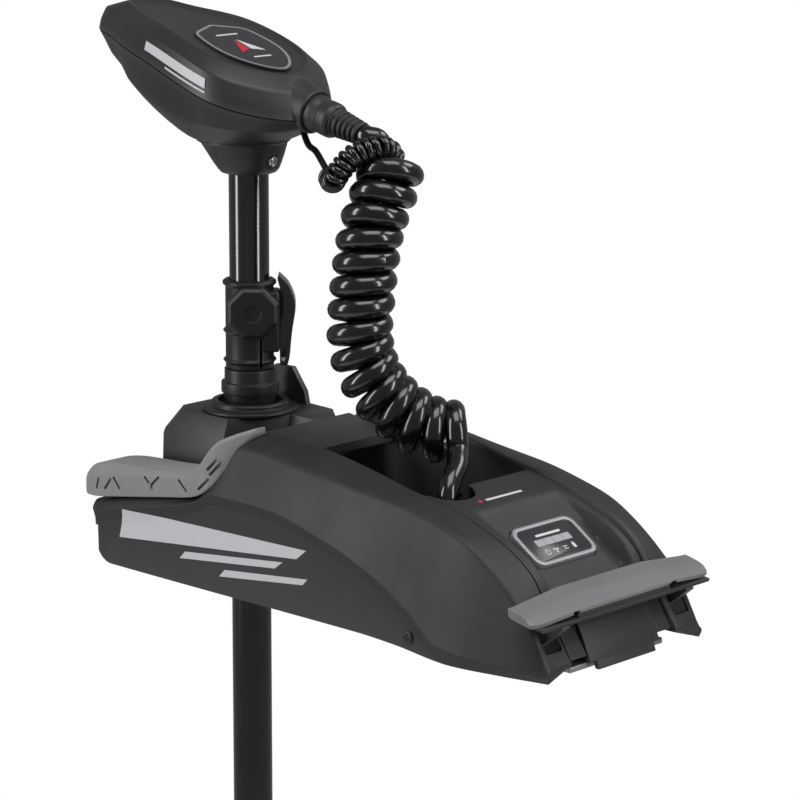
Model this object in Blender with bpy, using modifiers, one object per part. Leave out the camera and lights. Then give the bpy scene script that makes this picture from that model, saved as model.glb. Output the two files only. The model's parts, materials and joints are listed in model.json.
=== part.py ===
"""Bow-mount trolling motor: deck mount, tilting steering carriage, sliding mast, head and lower unit.

World frame: metres, +Z up, deck plane at Z = 0, origin at the centre of the mount's deck face.
The mast stands outboard of the origin, at MAST_X, and the foot pedal is at the +X end.
Every size below is in millimetres; at() turns a place measured from the mast into the world frame.
"""
import math

import bmesh
import bpy
import numpy as np
from mathutils import Matrix, Vector

# ---------------------------------------------------------------- driving dimensions (mm)
MM = 0.001
MAST_X = -210.0
GAP = 0.3
RUNNING = 0.5

MAST_RADIUS = 15.0
MAST_WALL = 2.5
MAST_TOP = 330.0
MAST_BOTTOM = -889.0

BASE_OUT = -87.0
BASE_IN = 366.0
RIM_Y = 56.0
CREASE_Y = 80.0
SIDE_Y = 95.0
COVER_WALL = 2.6

CHANNEL_OUT = 60.0
CHANNEL_IN = 360.0
CHANNEL_Y = 50.0
CHANNEL_WALL = 4.0
CHANNEL_HEIGHT = 34.0

TILT_X = 70.0
TILT_Z = 50.0
TILT_PIN_RADIUS = 6.0

HOUSING_TOP = 121.0
HOUSING_BOTTOM = 66.0
SLEEVE_RADIUS = 19.3
SLEEVE_TOP = 153.0
SLEEVE_BORE = MAST_RADIUS + RUNNING

COLLAR_BOTTOM = 153.6
COLLAR_TOP = 221.0
COLLAR_RADIUS = 18.2
COLLAR_YAW = 43.0
LEVER_PIN = (25.5, 0.0, 161.0)

NECK_BOTTOM = 301.0
GLAND_PITCH = 14.0

PEDAL_PIN_X = 334.0
PEDAL_PIN_Z = 21.0
PEDAL_HALF = 96.0
PEDAL_SHAFT_RADIUS = 7.5

POD_Z = -935.0
POD_RADIUS = 45.0
PROP_RADIUS = 130.0

COIL_RADIUS = 24.5
CORD_RADIUS = 8.0
SENSOR_COIL_RADIUS = 10.0
SENSOR_CORD_RADIUS = 2.5
CORD_ENTRY = (227.0, -28.0, 58.0)
SENSOR_ENTRY = (211.0, -12.0, 58.0)

# profiles along the base, as (x from the mast, height) in mm
RIM_LINE = [(-87, 50), (-60, 58), (10, 70), (38, 75), (50, 92), (62, 114), (76, 124), (129, 122),
            (176, 115), (218, 106), (257, 99), (295, 86), (316, 75.5), (332, 63), (340, 51), (353, 31),
            (366, 11)]
CREASE_LINE = [(-87, 49), (-60, 57), (10, 70), (38, 74), (50, 89), (62, 109), (74, 117), (134, 111),
               (180, 106), (225, 101), (258, 94), (286, 86), (306, 75), (332, 55), (348, 39), (366, 8)]
STEP_LINE = [(-87, 43), (38, 72), (57, 81), (111, 80), (169, 68), (215, 52), (250, 33), (280, 12), (366, 4)]
BOTTOM_LINE = [(-87, 34), (-83, 20), (-74, 11), (-60, 7), (200, 6), (235, 4.5), (288, 0), (366, 0)]
SIDE_LINE = [(-87, 81), (-80, 90), (-62, 94), (230, 95), (288, 95), (329, 89), (366, 81)]

MATERIALS = {
    "cover_plastic": ((0.022, 0.023, 0.026), 0.55, 0.0),
    "gloss_black": ((0.010, 0.010, 0.011), 0.22, 0.0),
    "rest_rubber": ((0.135, 0.140, 0.150), 0.65, 0.0),
    "cord_jacket": ((0.008, 0.008, 0.008), 0.15, 0.0),
    "black_rubber": ((0.012, 0.012, 0.012), 0.60, 0.0),
    "aluminium": ((0.46, 0.47, 0.49), 0.38, 1.0),
    "stainless": ((0.62, 0.61, 0.58), 0.25, 1.0),
    "silver_frame": ((0.42, 0.43, 0.45), 0.35, 0.6),
    "dark_lens": ((0.015, 0.016, 0.019), 0.12, 0.0),
    "circuit_green": ((0.02, 0.16, 0.06), 0.45, 0.0),
    "brass": ((0.62, 0.42, 0.14), 0.30, 1.0),
    "bronze": ((0.48, 0.29, 0.14), 0.38, 1.0),
    "ferrite": ((0.05, 0.05, 0.055), 0.55, 0.3),
    "nylon": ((0.55, 0.54, 0.50), 0.50, 0.0),
}


# ---------------------------------------------------------------- scene helpers
def clear_scene():
    for thing in list(bpy.data.objects):
        bpy.data.objects.remove(thing, do_unlink=True)


def collection(name):
    found = bpy.data.collections.new(name)
    bpy.context.scene.collection.children.link(found)
    return found


clear_scene()
PARTS = collection("trolling_motor")
CUTTERS = collection("cutters")


def material(name):
    found = bpy.data.materials.get(name)
    if found:
        return found
    colour, roughness, metallic = MATERIALS[name]
    made = bpy.data.materials.new(name)
    made.use_nodes = True
    shader = made.node_tree.nodes["Principled BSDF"]
    shader.inputs["Base Color"].default_value = (*colour, 1.0)
    shader.inputs["Roughness"].default_value = roughness
    shader.inputs["Metallic"].default_value = metallic
    return made


def at(x, y, z):
    """A place in millimetres from the mast's axis, the centre plane and the deck, in world metres."""
    return Vector(((MAST_X + x) * MM, y * MM, z * MM))


def add_mesh(name, mesh, group=PARTS):
    thing = bpy.data.objects.new(name, mesh)
    group.objects.link(thing)
    return thing


def dress(thing, material_name, smooth=True):
    thing.data.materials.clear()
    thing.data.materials.append(material(material_name))
    if smooth and thing.type == "MESH":
        thing.data.shade_smooth()
        thing.data.set_sharp_from_angle(angle=math.radians(35))
    return thing


def solid_from(bm, name, group=PARTS):
    bmesh.ops.recalc_face_normals(bm, faces=bm.faces)
    mesh = bpy.data.meshes.new(name)
    bm.to_mesh(mesh)
    bm.free()
    return add_mesh(name, mesh, group)


def box(name, x, y, z, group=PARTS):
    """A box between pairs of x, y and z limits, in millimetres from the mast."""
    bm = bmesh.new()
    bmesh.ops.create_cube(bm, size=1.0)
    low, high = at(x[0], y[0], z[0]), at(x[1], y[1], z[1])
    size = high - low
    bmesh.ops.scale(bm, vec=size, verts=bm.verts)
    thing = solid_from(bm, name, group)
    thing.location = (low + high) / 2
    return thing


def cylinder(name, radius, length, centre, axis="Z", sides=32, group=PARTS, top_radius=None):
    bm = bmesh.new()
    bmesh.ops.create_cone(bm, cap_ends=True, segments=sides, radius1=radius * MM,
                          radius2=(radius if top_radius is None else top_radius) * MM, depth=length * MM)
    thing = solid_from(bm, name, group)
    thing.location = at(*centre)
    thing.rotation_euler = {"X": (0, math.pi / 2, 0), "Y": (-math.pi / 2, 0, 0), "Z": (0, 0, 0)}[axis]
    return thing


def turned(name, profile, centre, axis="Z", sides=40, group=PARTS):
    """A turned solid from a profile of (radius, height) in mm that runs top to bottom on its outer side."""
    bm = bmesh.new()
    points = [bm.verts.new((r * MM, 0, h * MM)) for r, h in profile]
    closed = profile[0][0] > 0
    for first, second in zip(points, points[1:] + (points[:1] if closed else [])):
        bm.edges.new((first, second))
    mesh = bpy.data.meshes.new(name)
    bm.to_mesh(mesh)
    bm.free()
    thing = add_mesh(name, mesh, group)
    screw = thing.modifiers.new("turn", "SCREW")
    screw.steps = screw.render_steps = sides
    screw.use_merge_vertices = True
    screw.merge_threshold = 0.00001
    thing.location = at(*centre)
    thing.rotation_euler = {"X": (0, math.pi / 2, 0), "Y": (-math.pi / 2, 0, 0), "Z": (0, 0, 0)}[axis]
    return thing


def prism(name, outline, limits, plane="XZ", group=PARTS):
    """A flat outline in mm, filled and extruded between two limits on the third axis."""
    bm = bmesh.new()
    order = {"XZ": lambda a, b, c: at(a, c, b), "YZ": lambda a, b, c: at(c, a, b), "XY": lambda a, b,
             c: at(a, b, c)}
    ring = [bm.verts.new(order[plane](a, b, limits[0])) for a, b in outline]
    face = bm.faces.new(ring)
    pushed = bmesh.ops.extrude_face_region(bm, geom=[face])
    shift = order[plane](0, 0, limits[1]) - order[plane](0, 0, limits[0])
    moved = [v for v in pushed["geom"] if isinstance(v, bmesh.types.BMVert)]
    bmesh.ops.translate(bm, vec=shift, verts=moved)
    return solid_from(bm, name, group)


def loft(name, sections, caps=(True, True), group=PARTS, closed=True):
    """A skin through sections of equal point count; each section is a list of world points."""
    bm = bmesh.new()
    rings = [[bm.verts.new(p) for p in section] for section in sections]
    count = len(rings[0])
    for one, two in zip(rings, rings[1:]):
        for i in range(count if closed else count - 1):
            j = (i + 1) % count
            bm.faces.new((one[i], one[j], two[j], two[i]))
    if caps[0]:
        bm.faces.new(rings[0][::-1])
    if caps[1]:
        bm.faces.new(rings[-1])
    return solid_from(bm, name, group)


def to_mesh(thing):
    """Applies the object's modifiers, or turns its curve into a welded mesh."""
    graph = bpy.context.evaluated_depsgraph_get()
    mesh = bpy.data.meshes.new_from_object(thing.evaluated_get(graph))
    bm = bmesh.new()
    bm.from_mesh(mesh)
    bmesh.ops.remove_doubles(bm, verts=bm.verts, dist=0.00002)
    bm.to_mesh(mesh)
    bm.free()
    made = add_mesh(thing.name + "_mesh", mesh, thing.users_collection[0])
    made.matrix_world = thing.matrix_world
    name = thing.name
    bpy.data.objects.remove(thing, do_unlink=True)
    made.name = name
    return made


def tube(name, points, radius, bevel_resolution=2, group=PARTS):
    """A round bar along world points."""
    curve = bpy.data.curves.new(name, "CURVE")
    curve.dimensions = "3D"
    curve.bevel_depth = radius * MM
    curve.bevel_resolution = bevel_resolution
    curve.use_fill_caps = True
    spline = curve.splines.new("POLY")
    spline.points.add(len(points) - 1)
    for point, place in zip(spline.points, points):
        point.co = (*place, 1.0)
    thing = bpy.data.objects.new(name, curve)
    group.objects.link(thing)
    return thing


def smooth_route(route, count):
    """Points of a Catmull-Rom curve through a route of places, evenly spread by length."""
    knots = [np.array(p, float) for p in route]
    knots = [2 * knots[0] - knots[1]] + knots + [2 * knots[-1] - knots[-2]]
    fine = []
    for p0, p1, p2, p3 in zip(knots, knots[1:], knots[2:], knots[3:]):
        for t in np.linspace(0, 1, 20, endpoint=False):
            fine.append(0.5 * (2 * p1 + (p2 - p0) * t + (2 * p0 - 5 * p1 + 4 * p2 - p3) * t ** 2
                               + (3 * p1 - p0 - 3 * p2 + p3) * t ** 3))
    fine.append(knots[-2])
    fine = np.array(fine)
    walked = np.concatenate([[0], np.cumsum(np.linalg.norm(np.diff(fine, axis=0), axis=1))])
    marks = np.linspace(0, walked[-1], count)
    return [Vector([np.interp(m, walked, fine[:, k]) for k in range(3)]) for m in marks]


def combine(thing, others, operation):
    """Cuts or joins the other objects into this one, and leaves one mesh."""
    bpy.context.view_layer.update()
    for other in others:
        modifier = thing.modifiers.new(operation.lower(), "BOOLEAN")
        modifier.operation = operation
        modifier.object = other
        modifier.solver = "EXACT"
    bpy.context.view_layer.update()
    made = to_mesh(thing)
    for other in others:
        bpy.data.objects.remove(other, do_unlink=True)
    return made


def cut(thing, cutters):
    return combine(thing, cutters, "DIFFERENCE")


def join(thing, others):
    return combine(thing, others, "UNION")


def thicken(thing, wall, offset=-1.0):
    solidify = thing.modifiers.new("wall", "SOLIDIFY")
    solidify.thickness = wall * MM
    solidify.offset = offset
    solidify.use_even_offset = True
    solidify.thickness_clamp = 0.0
    return thing


def bevel(thing, width, segments=1, angle=30):
    rounder = thing.modifiers.new("edges", "BEVEL")
    rounder.width = width * MM
    rounder.segments = segments
    rounder.limit_method = "ANGLE"
    rounder.angle_limit = math.radians(angle)
    rounder.use_clamp_overlap = True
    return thing


def turn_about(thing, centre, axis, degrees):
    """Turns an object about a world axis through a place in mm."""
    bpy.context.view_layer.update()
    pivot = at(*centre)
    spin = Matrix.Translation(pivot) @ Matrix.Rotation(math.radians(degrees), 4,
                                                       axis) @ Matrix.Translation(-pivot)
    thing.matrix_world = spin @ thing.matrix_world
    return thing


def along(line, x):
    return float(np.interp(x, [p[0] for p in line], [p[1] for p in line]))


def circle(radius, count, start=0.0):
    return [(radius * math.cos(start + 2 * math.pi * i / count),
             radius * math.sin(start + 2 * math.pi * i / count))
            for i in range(count)]


# ---------------------------------------------------------------- the deck mount
def mount_frame():
    """Folded channel on the deck with two fork arms that carry the motor rests."""
    y, w, h = CHANNEL_Y, CHANNEL_WALL, CHANNEL_HEIGHT
    channel = [(-y, 0), (y, 0), (y, h), (y - w, h), (y - w, w), (w - y, w), (w - y, h), (-y, h)]
    frame = prism("mount_frame", channel, (CHANNEL_OUT, CHANNEL_IN), "YZ")
    arms = []
    for side in (-1, 1):
        hat = [(49, 8), (49, 38), (84, 38), (84, 8), (81, 8), (81, 35), (53, 35), (53, 8)]
        arms.append(prism("arm", [(side * a, b) for a, b in hat], (-64, 150), "YZ"))
    ears = []
    for side in (-1, 1):
        outline = [(52, 20), (88, 20), (88, 42), (78, 60), (62, 60), (52, 42)]
        limits = sorted((side * 46.5, side * 49.5))
        ears.append(prism("ear", outline, limits, "XZ"))
    frame = join(frame, arms + ears)
    cutters = [cylinder("bore", TILT_PIN_RADIUS + GAP, 130, (TILT_X, 0, TILT_Z), "Y", 24, CUTTERS)]
    cutters.append(box("wall_end", (344, CHANNEL_IN + 5), (-60, 60), (CHANNEL_WALL, 60), CUTTERS))
    shaft_hole = cylinder("bore", PEDAL_SHAFT_RADIUS + RUNNING, 140, (PEDAL_PIN_X, 0, PEDAL_PIN_Z), "Y", 24,
                          CUTTERS)
    cutters.append(shaft_hole)
    cutters.append(cylinder("bore", 3.3, 108, (LATCH_PIN[0], 0, LATCH_PIN[1]), "Y", 20, CUTTERS))
    for x in (110, 170, 310):
        for y in (-34, 34):
            cutters.append(cylinder("bore", 3.5, 20, (x, y, 0), "Z", 16, CUTTERS))
    return dress(cut(frame, cutters), "aluminium", smooth=False)


def cover_section(x, side):
    """One cross-section of a side cover: skirt, step band, crease, top strip, rim and inner wall."""
    rim, crease, step = along(RIM_LINE, x), along(CREASE_LINE, x), along(STEP_LINE, x)
    bottom, skirt = along(BOTTOM_LINE, x), along(SIDE_LINE, x)
    step = min(max(step, bottom + 3), crease - 2)
    low = max(step - 8, bottom + 1.5)
    narrow = min(1.0, max(0.0, (x - 38) / 36))
    shoulder = (skirt - 2) * (1 - narrow) + min(CREASE_Y, skirt - 2) * narrow
    points = [(skirt - 1.5, bottom), (skirt - 1, low), (skirt + 1.5, step), (shoulder, crease),
              ((shoulder + RIM_Y) / 2, crease * 0.35 + rim * 0.65), (RIM_Y, rim),
              (RIM_Y, min(39.5 if x < 151 else 8.5, rim - 2.5))]
    return [at(x, side * y, z) for y, z in points]


def side_cover(name, side):
    """Moulded fork-arm cover, open below, with a slot for the pedal arm in its sloping end."""
    stations = [BASE_OUT, -83, -74, -60, -30, 10, 38, 50, 62, 75, 100, 129, 150, 155, 176, 200, 218, 240,
                257, 276, 295,
                306, 316, 325, 333, 341, 349, 358, BASE_IN]
    cover = loft(name, [cover_section(x, side) for x in stations], closed=False)
    thicken(cover, COVER_WALL)
    bpy.context.view_layer.update()
    cover = to_mesh(cover)
    slot = sorted((side * 59.0, side * 76.0))
    cutters = [box("slot", (318, 392), slot, (14, 40), CUTTERS),
               cylinder("shaft_hole", PEDAL_SHAFT_RADIUS + 2 * RUNNING, 12,
                        (PEDAL_PIN_X, side * 57, PEDAL_PIN_Z),
                        "Y", 20, CUTTERS)]
    return dress(cut(cover, cutters), "cover_plastic")


REST_SIDE = [(-90, 86), (-80, 94), (-60, 97), (30, 97)]


def motor_rest(name, side):
    """Rubber pad on a fork arm: nose, saddle dip and rising strip up the cover's shoulder."""
    def section(x, foot, top_out, top_in):
        outer, inner = side * along(REST_SIDE, x), side * 57.0
        return [at(x, outer, foot), at(x, outer, top_out), at(x, outer - side * 5, top_out + 3),
                at(x, inner, top_in), at(x, inner, foot)]
    rows = [(-90, 58, 62, 64), (-84, 57, 72, 76), (-74, 57.5, 76, 83), (-50, 61, 79, 86), (-10, 67.5, 84, 88),
            (14, 71.5, 87, 89), (30, 74.8, 91, 93)]
    body = loft(name, [section(*row) for row in rows])
    body = join(body, [rest_strip("strip", side)])
    return dress(body, "rest_rubber", smooth=False)


def rest_strip(name, side):
    rows = [(28, 97, 75.5, 92), (38, 96, 76.8, 97), (50, 91, 93.6, 109), (62, 83, 115.6, 123),
            (76, 70, 125.6, 129)]
    sections = []
    for x, outer, foot, top in rows:
        sections.append([at(x, side * outer, foot), at(x, side * outer, top - 2),
                         at(x, side * (outer - 3), top),
                         at(x, side * 58, top), at(x, side * 58, foot)])
    return loft(name, sections)


def dash_surface(x, y):
    """Height of the dash: flush with the rims, with a flat display facet sunk between them."""
    rim = along(RIM_LINE, x) - 1.0
    chord = 95.5 - (x - 265) * 0.675
    ramp = min(1.0, max(0.0, (47 - abs(y)) / 6))
    if 265 < x < 337:
        return rim - ramp * max(0.0, rim - chord)
    return rim


def dash_cover():
    """Cover between the side covers, with a sunk facet for the display and two cheeks below the pedal."""
    columns = [-RIM_Y + 1.0, -47, -41, -38.6, 38.6, 41, 47, RIM_Y - 1.0]
    rows = [231, 240, 250, 257, 265, 274, 285, 295, 306, 316, 325, 332, 337, 341, 349, 358, 365]
    bm = bmesh.new()
    grid = [[bm.verts.new(at(x, y, dash_surface(x, y))) for y in columns] for x in rows]
    for one, two, x in zip(grid, grid[1:], rows):
        for j in range(len(columns) - 1):
            centre = j == 3
            if centre and x >= 341:
                continue
            bm.faces.new((one[j], one[j + 1], two[j + 1], two[j]))
    rear = [bm.verts.new(at(231, y, 78)) for y in columns]
    for j in range(len(columns) - 1):
        bm.faces.new((grid[0][j + 1], grid[0][j], rear[j], rear[j + 1]))
    dash = solid_from(bm, "dash_cover")
    if dash.data.polygons[0].normal.z < 0:
        dash.data.flip_normals()
    thicken(dash, 2.4)
    bpy.context.view_layer.update()
    dash = to_mesh(dash)
    notch = cylinder("notch", 21, 60, (229, -32, 90), "Z", 32, CUTTERS)
    window = box("window", (-19, 19), (-33, 33), (-12, 12), CUTTERS)
    place_on_display(window)
    return dress(cut(dash, [notch, window]), "cover_plastic")


DISPLAY_CENTRE = (301.0, 0.0, 71.2)
DISPLAY_PITCH = 34.0


def place_on_display(thing, lift=0.0):
    """Moves an object made round the mast's foot onto the display facet."""
    bpy.context.view_layer.update()
    frame = (Matrix.Translation(at(*DISPLAY_CENTRE)) @ Matrix.Rotation(math.radians(DISPLAY_PITCH), 4, "Y")
             @ Matrix.Translation((0, 0, lift * MM)) @ Matrix.Translation(-at(0, 0, 0)))
    thing.matrix_world = frame @ thing.matrix_world
    return thing


def rounded_rectangle(half_x, half_y, radius, steps=5):
    points = []
    for cx, cy, start in ((half_x, half_y, 0), (-half_x, half_y, 90), (-half_x, -half_y, 180),
                          (half_x, -half_y, 270)):
        for i in range(steps + 1):
            angle = math.radians(start + 90 * i / steps)
            points.append((cx - math.copysign(radius, cx) + radius * math.cos(angle),
                           cy - math.copysign(radius, cy) + radius * math.sin(angle)))
    return points


def display_parts():
    bezel = prism("display_bezel", rounded_rectangle(18.4, 32.4, 8), (-3.5, 3.0), "XY")
    hole = prism("hole", rounded_rectangle(15.0, 29.0, 6), (-9, 9), "XY", CUTTERS)
    bezel = place_on_display(cut(bezel, [hole]))
    lens = prism("display_lens", rounded_rectangle(14.7, 28.7, 5.7), (-0.5, 2.2), "XY")
    board = prism("indicator_board", rounded_rectangle(14.0, 28.0, 3), (-3.4, -1.2), "XY")
    dress(bezel, "silver_frame")
    dress(place_on_display(lens), "dark_lens", smooth=False)
    dress(place_on_display(board), "circuit_green", smooth=False)


def end_flap():
    """Sloping centre panel below the pedal."""
    outline = [(350.2, 36.8), (352.4, 37.6), (360, 24), (368, 6), (370, 0.5), (366.5, 0.5), (363, 8),
               (356, 22)]
    return dress(prism("end_flap", outline, (-37.6, 37.6), "XZ"), "cover_plastic", smooth=False)


def motor_controller():
    body = box("motor_controller", (246, 318), (-42, 8), (5, 38))
    fins = [box("fin", (250 + 8 * i, 253 + 8 * i), (-40, 6), (37, 44)) for i in range(8)]
    return dress(join(body, fins), "aluminium", smooth=False)


def cord_gland():
    """Rubber gland block in the pit where both cords go in."""
    x, y, z = CORD_ENTRY
    block = box("cord_gland", (x - 27, x + 15), (y - 17, y + 27), (4.3, z - 6))
    collars = [cylinder("collar", 11.5, 10, (x, y, z - GAP - 5), "Z", 24),
               cylinder("collar", 6, 10, (SENSOR_ENTRY[0], SENSOR_ENTRY[1], z - GAP - 5), "Z", 20)]
    return dress(join(block, collars), "black_rubber", smooth=False)


def pan_screw(name, centre, axis, radius, head, length):
    """A screw: pan head outward along the axis, plain shank inward."""
    profile = [(0, head), (radius * 0.7, head), (radius, head * 0.45), (radius, 0), (radius * 0.42, 0),
               (radius * 0.42, -length), (0, -length)]
    return turned(name, profile, centre, axis, sides=12)


def tilt_pin():
    dress(cylinder("hinge_pin", TILT_PIN_RADIUS, 99.0, (TILT_X, 0, TILT_Z), "Y", 24), "stainless")
    for name, side in (("near", -1), ("far", 1)):
        ring = [(9.0, 2.4), (9.0, -2.4), (TILT_PIN_RADIUS + GAP, -2.4), (TILT_PIN_RADIUS + GAP, 2.4)]
        dress(turned(name + "_hinge_bush", ring, (TILT_X, side * 43.4, TILT_Z), "Y", 24), "nylon")


# ---------------------------------------------------------------- pedal and latch
LATCH_PIN = (112.0, 26.0)
ROD_Y = 26.0


def pedal_parts():
    arms = []
    hub = cylinder("pedal_lever", PEDAL_SHAFT_RADIUS, 142, (PEDAL_PIN_X, 0, PEDAL_PIN_Z), "Y", 24)
    outline = [(330, 16), (336, 15), (352, 22), (371, 37.6), (368.2, 40.2), (352, 42.2), (348, 34),
               (333, 27.5)]
    for side in (-1, 1):
        arms.append(prism("arm", outline, sorted((side * 63, side * 71)), "XZ"))
    strip = prism("strip", [(346, 42.2), (369.5, 38.5), (370, 40.8), (346, 44.5)], (-90, 90), "XZ")
    crank = prism("crank", [(330, 18), (338, 18), (336.5, 7.5), (331.5, 7.5)], (ROD_Y - 5, ROD_Y + 1), "XZ")
    lever = join(hub, arms + [strip, crank])
    pad_outline = [(342.5, 57), (357, 53.4), (369.5, 43.3), (370, 41.3), (346, 45.3), (343, 49.5)]
    pad = prism("pedal_pad", pad_outline, (-PEDAL_HALF, PEDAL_HALF), "XZ")
    return dress(lever, "stainless", smooth=False), dress(pad, "rest_rubber", smooth=False)


def latch_pin():
    dress(cylinder("latch_pin", 3.0, 99, (LATCH_PIN[0], 0, LATCH_PIN[1]), "Y", 16), "stainless")


def helix(radius, pitch, turns, per_turn=8):
    return [(radius * math.cos(2 * math.pi * i / per_turn), radius * math.sin(2 * math.pi * i / per_turn),
             pitch * i / per_turn) for i in range(int(turns * per_turn) + 1)]


def pedal_spring():
    """Torsion spring round the pedal's hub."""
    points = [at(PEDAL_PIN_X + a, -36 + c, PEDAL_PIN_Z + b) for a, b, c in helix(10.2, 3.4, 4)]
    return dress(tube("pedal_spring", points, 1.0, 1), "stainless")


def latch_parts():
    """Pawl beside the carriage's heel, and the rod that works it from the pedal."""
    x, z = LATCH_PIN
    outline = [(x - 6, z - 5), (x, z - 8), (x + 6, z - 5), (x + 7, z + 3), (x, z + 7), (x - 10, z + 8),
               (x - 26, z + 16.5), (x - 27.2, z + 13.5), (x - 17, z + 6), (x - 12, z - 1)]
    hook = prism("latch_hook", outline, (ROD_Y - 14, ROD_Y - 6), "XZ")
    bore = cylinder("bore", 3.0 + RUNNING, 60, (x, 0, z), "Y", 16, CUTTERS)
    hook = cut(hook, [bore])
    rod = box("release_rod", (x - 3, 328), (ROD_Y - 4.5, ROD_Y), (8.5, 13.5))
    return dress(hook, "stainless", smooth=False), dress(rod, "stainless", smooth=False)


# ---------------------------------------------------------------- the tilting carriage
HOUSING_TOP_OUTLINE = [(-46, -26), (-33, -38), (15, -38), (36, 6), (60, 6), (60, 30), (46, 42), (-2, 47),
                       (-33, 38), (-46, 26)]
HOOD_END = 105.0
HOOD_DROP = 112.0
HOOD_Y = 44.5
HOUSING_MID_OUTLINE = [(-58, -34), (-46, -47), (18, -47), (40, 5), (66, 5), (66, 34), (50, 47), (-2, 50),
                       (-46, 47), (-58, 34)]


def steering_housing():
    """Faceted gear case over the carriage, open below, with the mast's hole through its top."""
    low = [at(x * 1.04, y, HOUSING_BOTTOM) for x, y in HOUSING_MID_OUTLINE]
    mid = [at(x, y, 103) for x, y in HOUSING_MID_OUTLINE]
    top = [at(x, y, HOUSING_TOP) for x, y in HOUSING_TOP_OUTLINE]
    shell = loft("steering_housing", [low, mid, top], caps=(False, True))
    thicken(shell, 3.0)
    bpy.context.view_layer.update()
    shell = to_mesh(shell)
    hole = cylinder("hole", 27, 40, (0, 0, HOUSING_TOP), "Z", 40, CUTTERS)
    shell = cut(shell, [hole])
    z = HOUSING_TOP
    fin = [(-24, z - 2), (22, z - 2), (19, z + 10), (6, z + 27), (-12, z + 27), (-24, z + 14)]
    hood = [(61, z - 1), (HOOD_END, HOOD_DROP), (HOOD_END, HOOD_DROP - 7), (HOOD_END - 2.5, HOOD_DROP - 7),
            (HOOD_END - 2.5, HOOD_DROP - 3), (61, z - 4)]
    pieces = [prism("fin", fin, (38.5, 43), "XZ"), prism("hood", hood, (-HOOD_Y, HOOD_Y), "XZ")]
    web = [(61, z - 3), (HOOD_END - 2, HOOD_DROP - 1), (HOOD_END - 2, HOOD_DROP - 9), (61, z - 24)]
    for side in (-1, 1):
        pieces.append(prism("web", web, sorted((side * (HOOD_Y - 2.5), side * HOOD_Y)), "XZ"))
    return dress(join(shell, pieces), "cover_plastic", smooth=False)


def top_flange():
    """Stepped ring on the gear case that carries the upper bearing."""
    z = HOUSING_TOP + GAP
    profile = [(24.5, z + 7.5), (28.5, z + 7.5), (29.6, z + 6.2), (29.6, z + 3.6), (33, z + 3.4),
               (36.4, z + 2.4),
               (36.8, z + 0.8), (36.4, z), (26.7, z), (26.7, z - 10), (24.5, z - 10)]
    return dress(turned("top_flange", profile, (0, 0, 0), "Z", 32), "gloss_black")


def carriage_bracket():
    """Cast floor of the gear case, with lugs on the tilt pin and a round heel for the latch."""
    floor = prism("carriage_bracket", [(-52, -42), (34, -42), (34, 42), (-52, 42)], (58, 64), "XY")
    lugs = []
    for side in (-1, 1):
        y = sorted((side * 30, side * 40.4))
        outline = [(20, 64), (20, 52), (60, 38), (70, 36), (79, 40), (84, 50), (79, 60), (70, 64)]
        lugs.append(prism("lug", outline, y, "XZ"))
    heel = cylinder("heel", 16, 14, (TILT_X, ROD_Y - 10, TILT_Z), "Y", 32)
    web = prism("web", [(20, 64), (20, 54), (62, 42), (72, 46), (72, 62)], (ROD_Y - 17, ROD_Y - 3), "XZ")
    seat = cylinder("seat", 31, 14, (0, 0, 69), "Z", 32)
    body = join(floor, lugs + [heel, web, seat])
    bores = [cylinder("bore", TILT_PIN_RADIUS + RUNNING, 120, (TILT_X, 0, TILT_Z), "Y", 20, CUTTERS),
             cylinder("bore", 24.6, 60, (0, 0, 60), "Z", 32, CUTTERS)]
    return dress(cut(body, bores), "aluminium", smooth=False)


def carriage_drive():
    motor = turned("steering_motor", [(0, 112), (11, 112), (13.5, 110), (13.5, 78), (6, 78), (6, 75),
                                      (0, 75)],
                   (44, 22, 0), "Z", 24)
    dress(motor, "aluminium")
    worm = turned("steering_worm", [(0, 20), (4, 20), (4, 12), (8, 12), (8, -12), (4, -12), (4, -20),
                                    (0, -20)],
                  WORM_CENTRE, "X", 24)
    dress(worm, "brass")
    for name, low, high in (("lower", 66.5, 73.5), ("upper", HOUSING_TOP - 6, HOUSING_TOP + 1)):
        ring = [(24.2, high), (24.2, low), (SLEEVE_RADIUS + RUNNING, low), (SLEEVE_RADIUS + RUNNING, high)]
        dress(turned(name + "_sleeve_bearing", ring, (0, 0, 0), "Z", 32), "stainless")


WORM_CENTRE = (0.0, 37.5, 90.0)


# ---------------------------------------------------------------- steering sleeve
def drive_sleeve():
    """Keyed tube that turns the mast, with the clip ring that shows above the flange."""
    profile = [(SLEEVE_RADIUS, SLEEVE_TOP), (SLEEVE_RADIUS, 143), (21.8, 143), (21.8, 134.5),
               (SLEEVE_RADIUS, 134.5),
               (SLEEVE_RADIUS, 62), (SLEEVE_BORE, 62), (SLEEVE_BORE, SLEEVE_TOP)]
    return dress(turned("drive_sleeve", profile, (0, 0, 0), "Z", 32), "black_rubber")


def worm_wheel():
    profile = [(29.2, 96), (29.2, 84), (SLEEVE_RADIUS + GAP, 84), (SLEEVE_RADIUS + GAP, 96)]
    return dress(turned("worm_wheel", profile, (0, 0, 0), "Z", 36), "brass")


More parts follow.
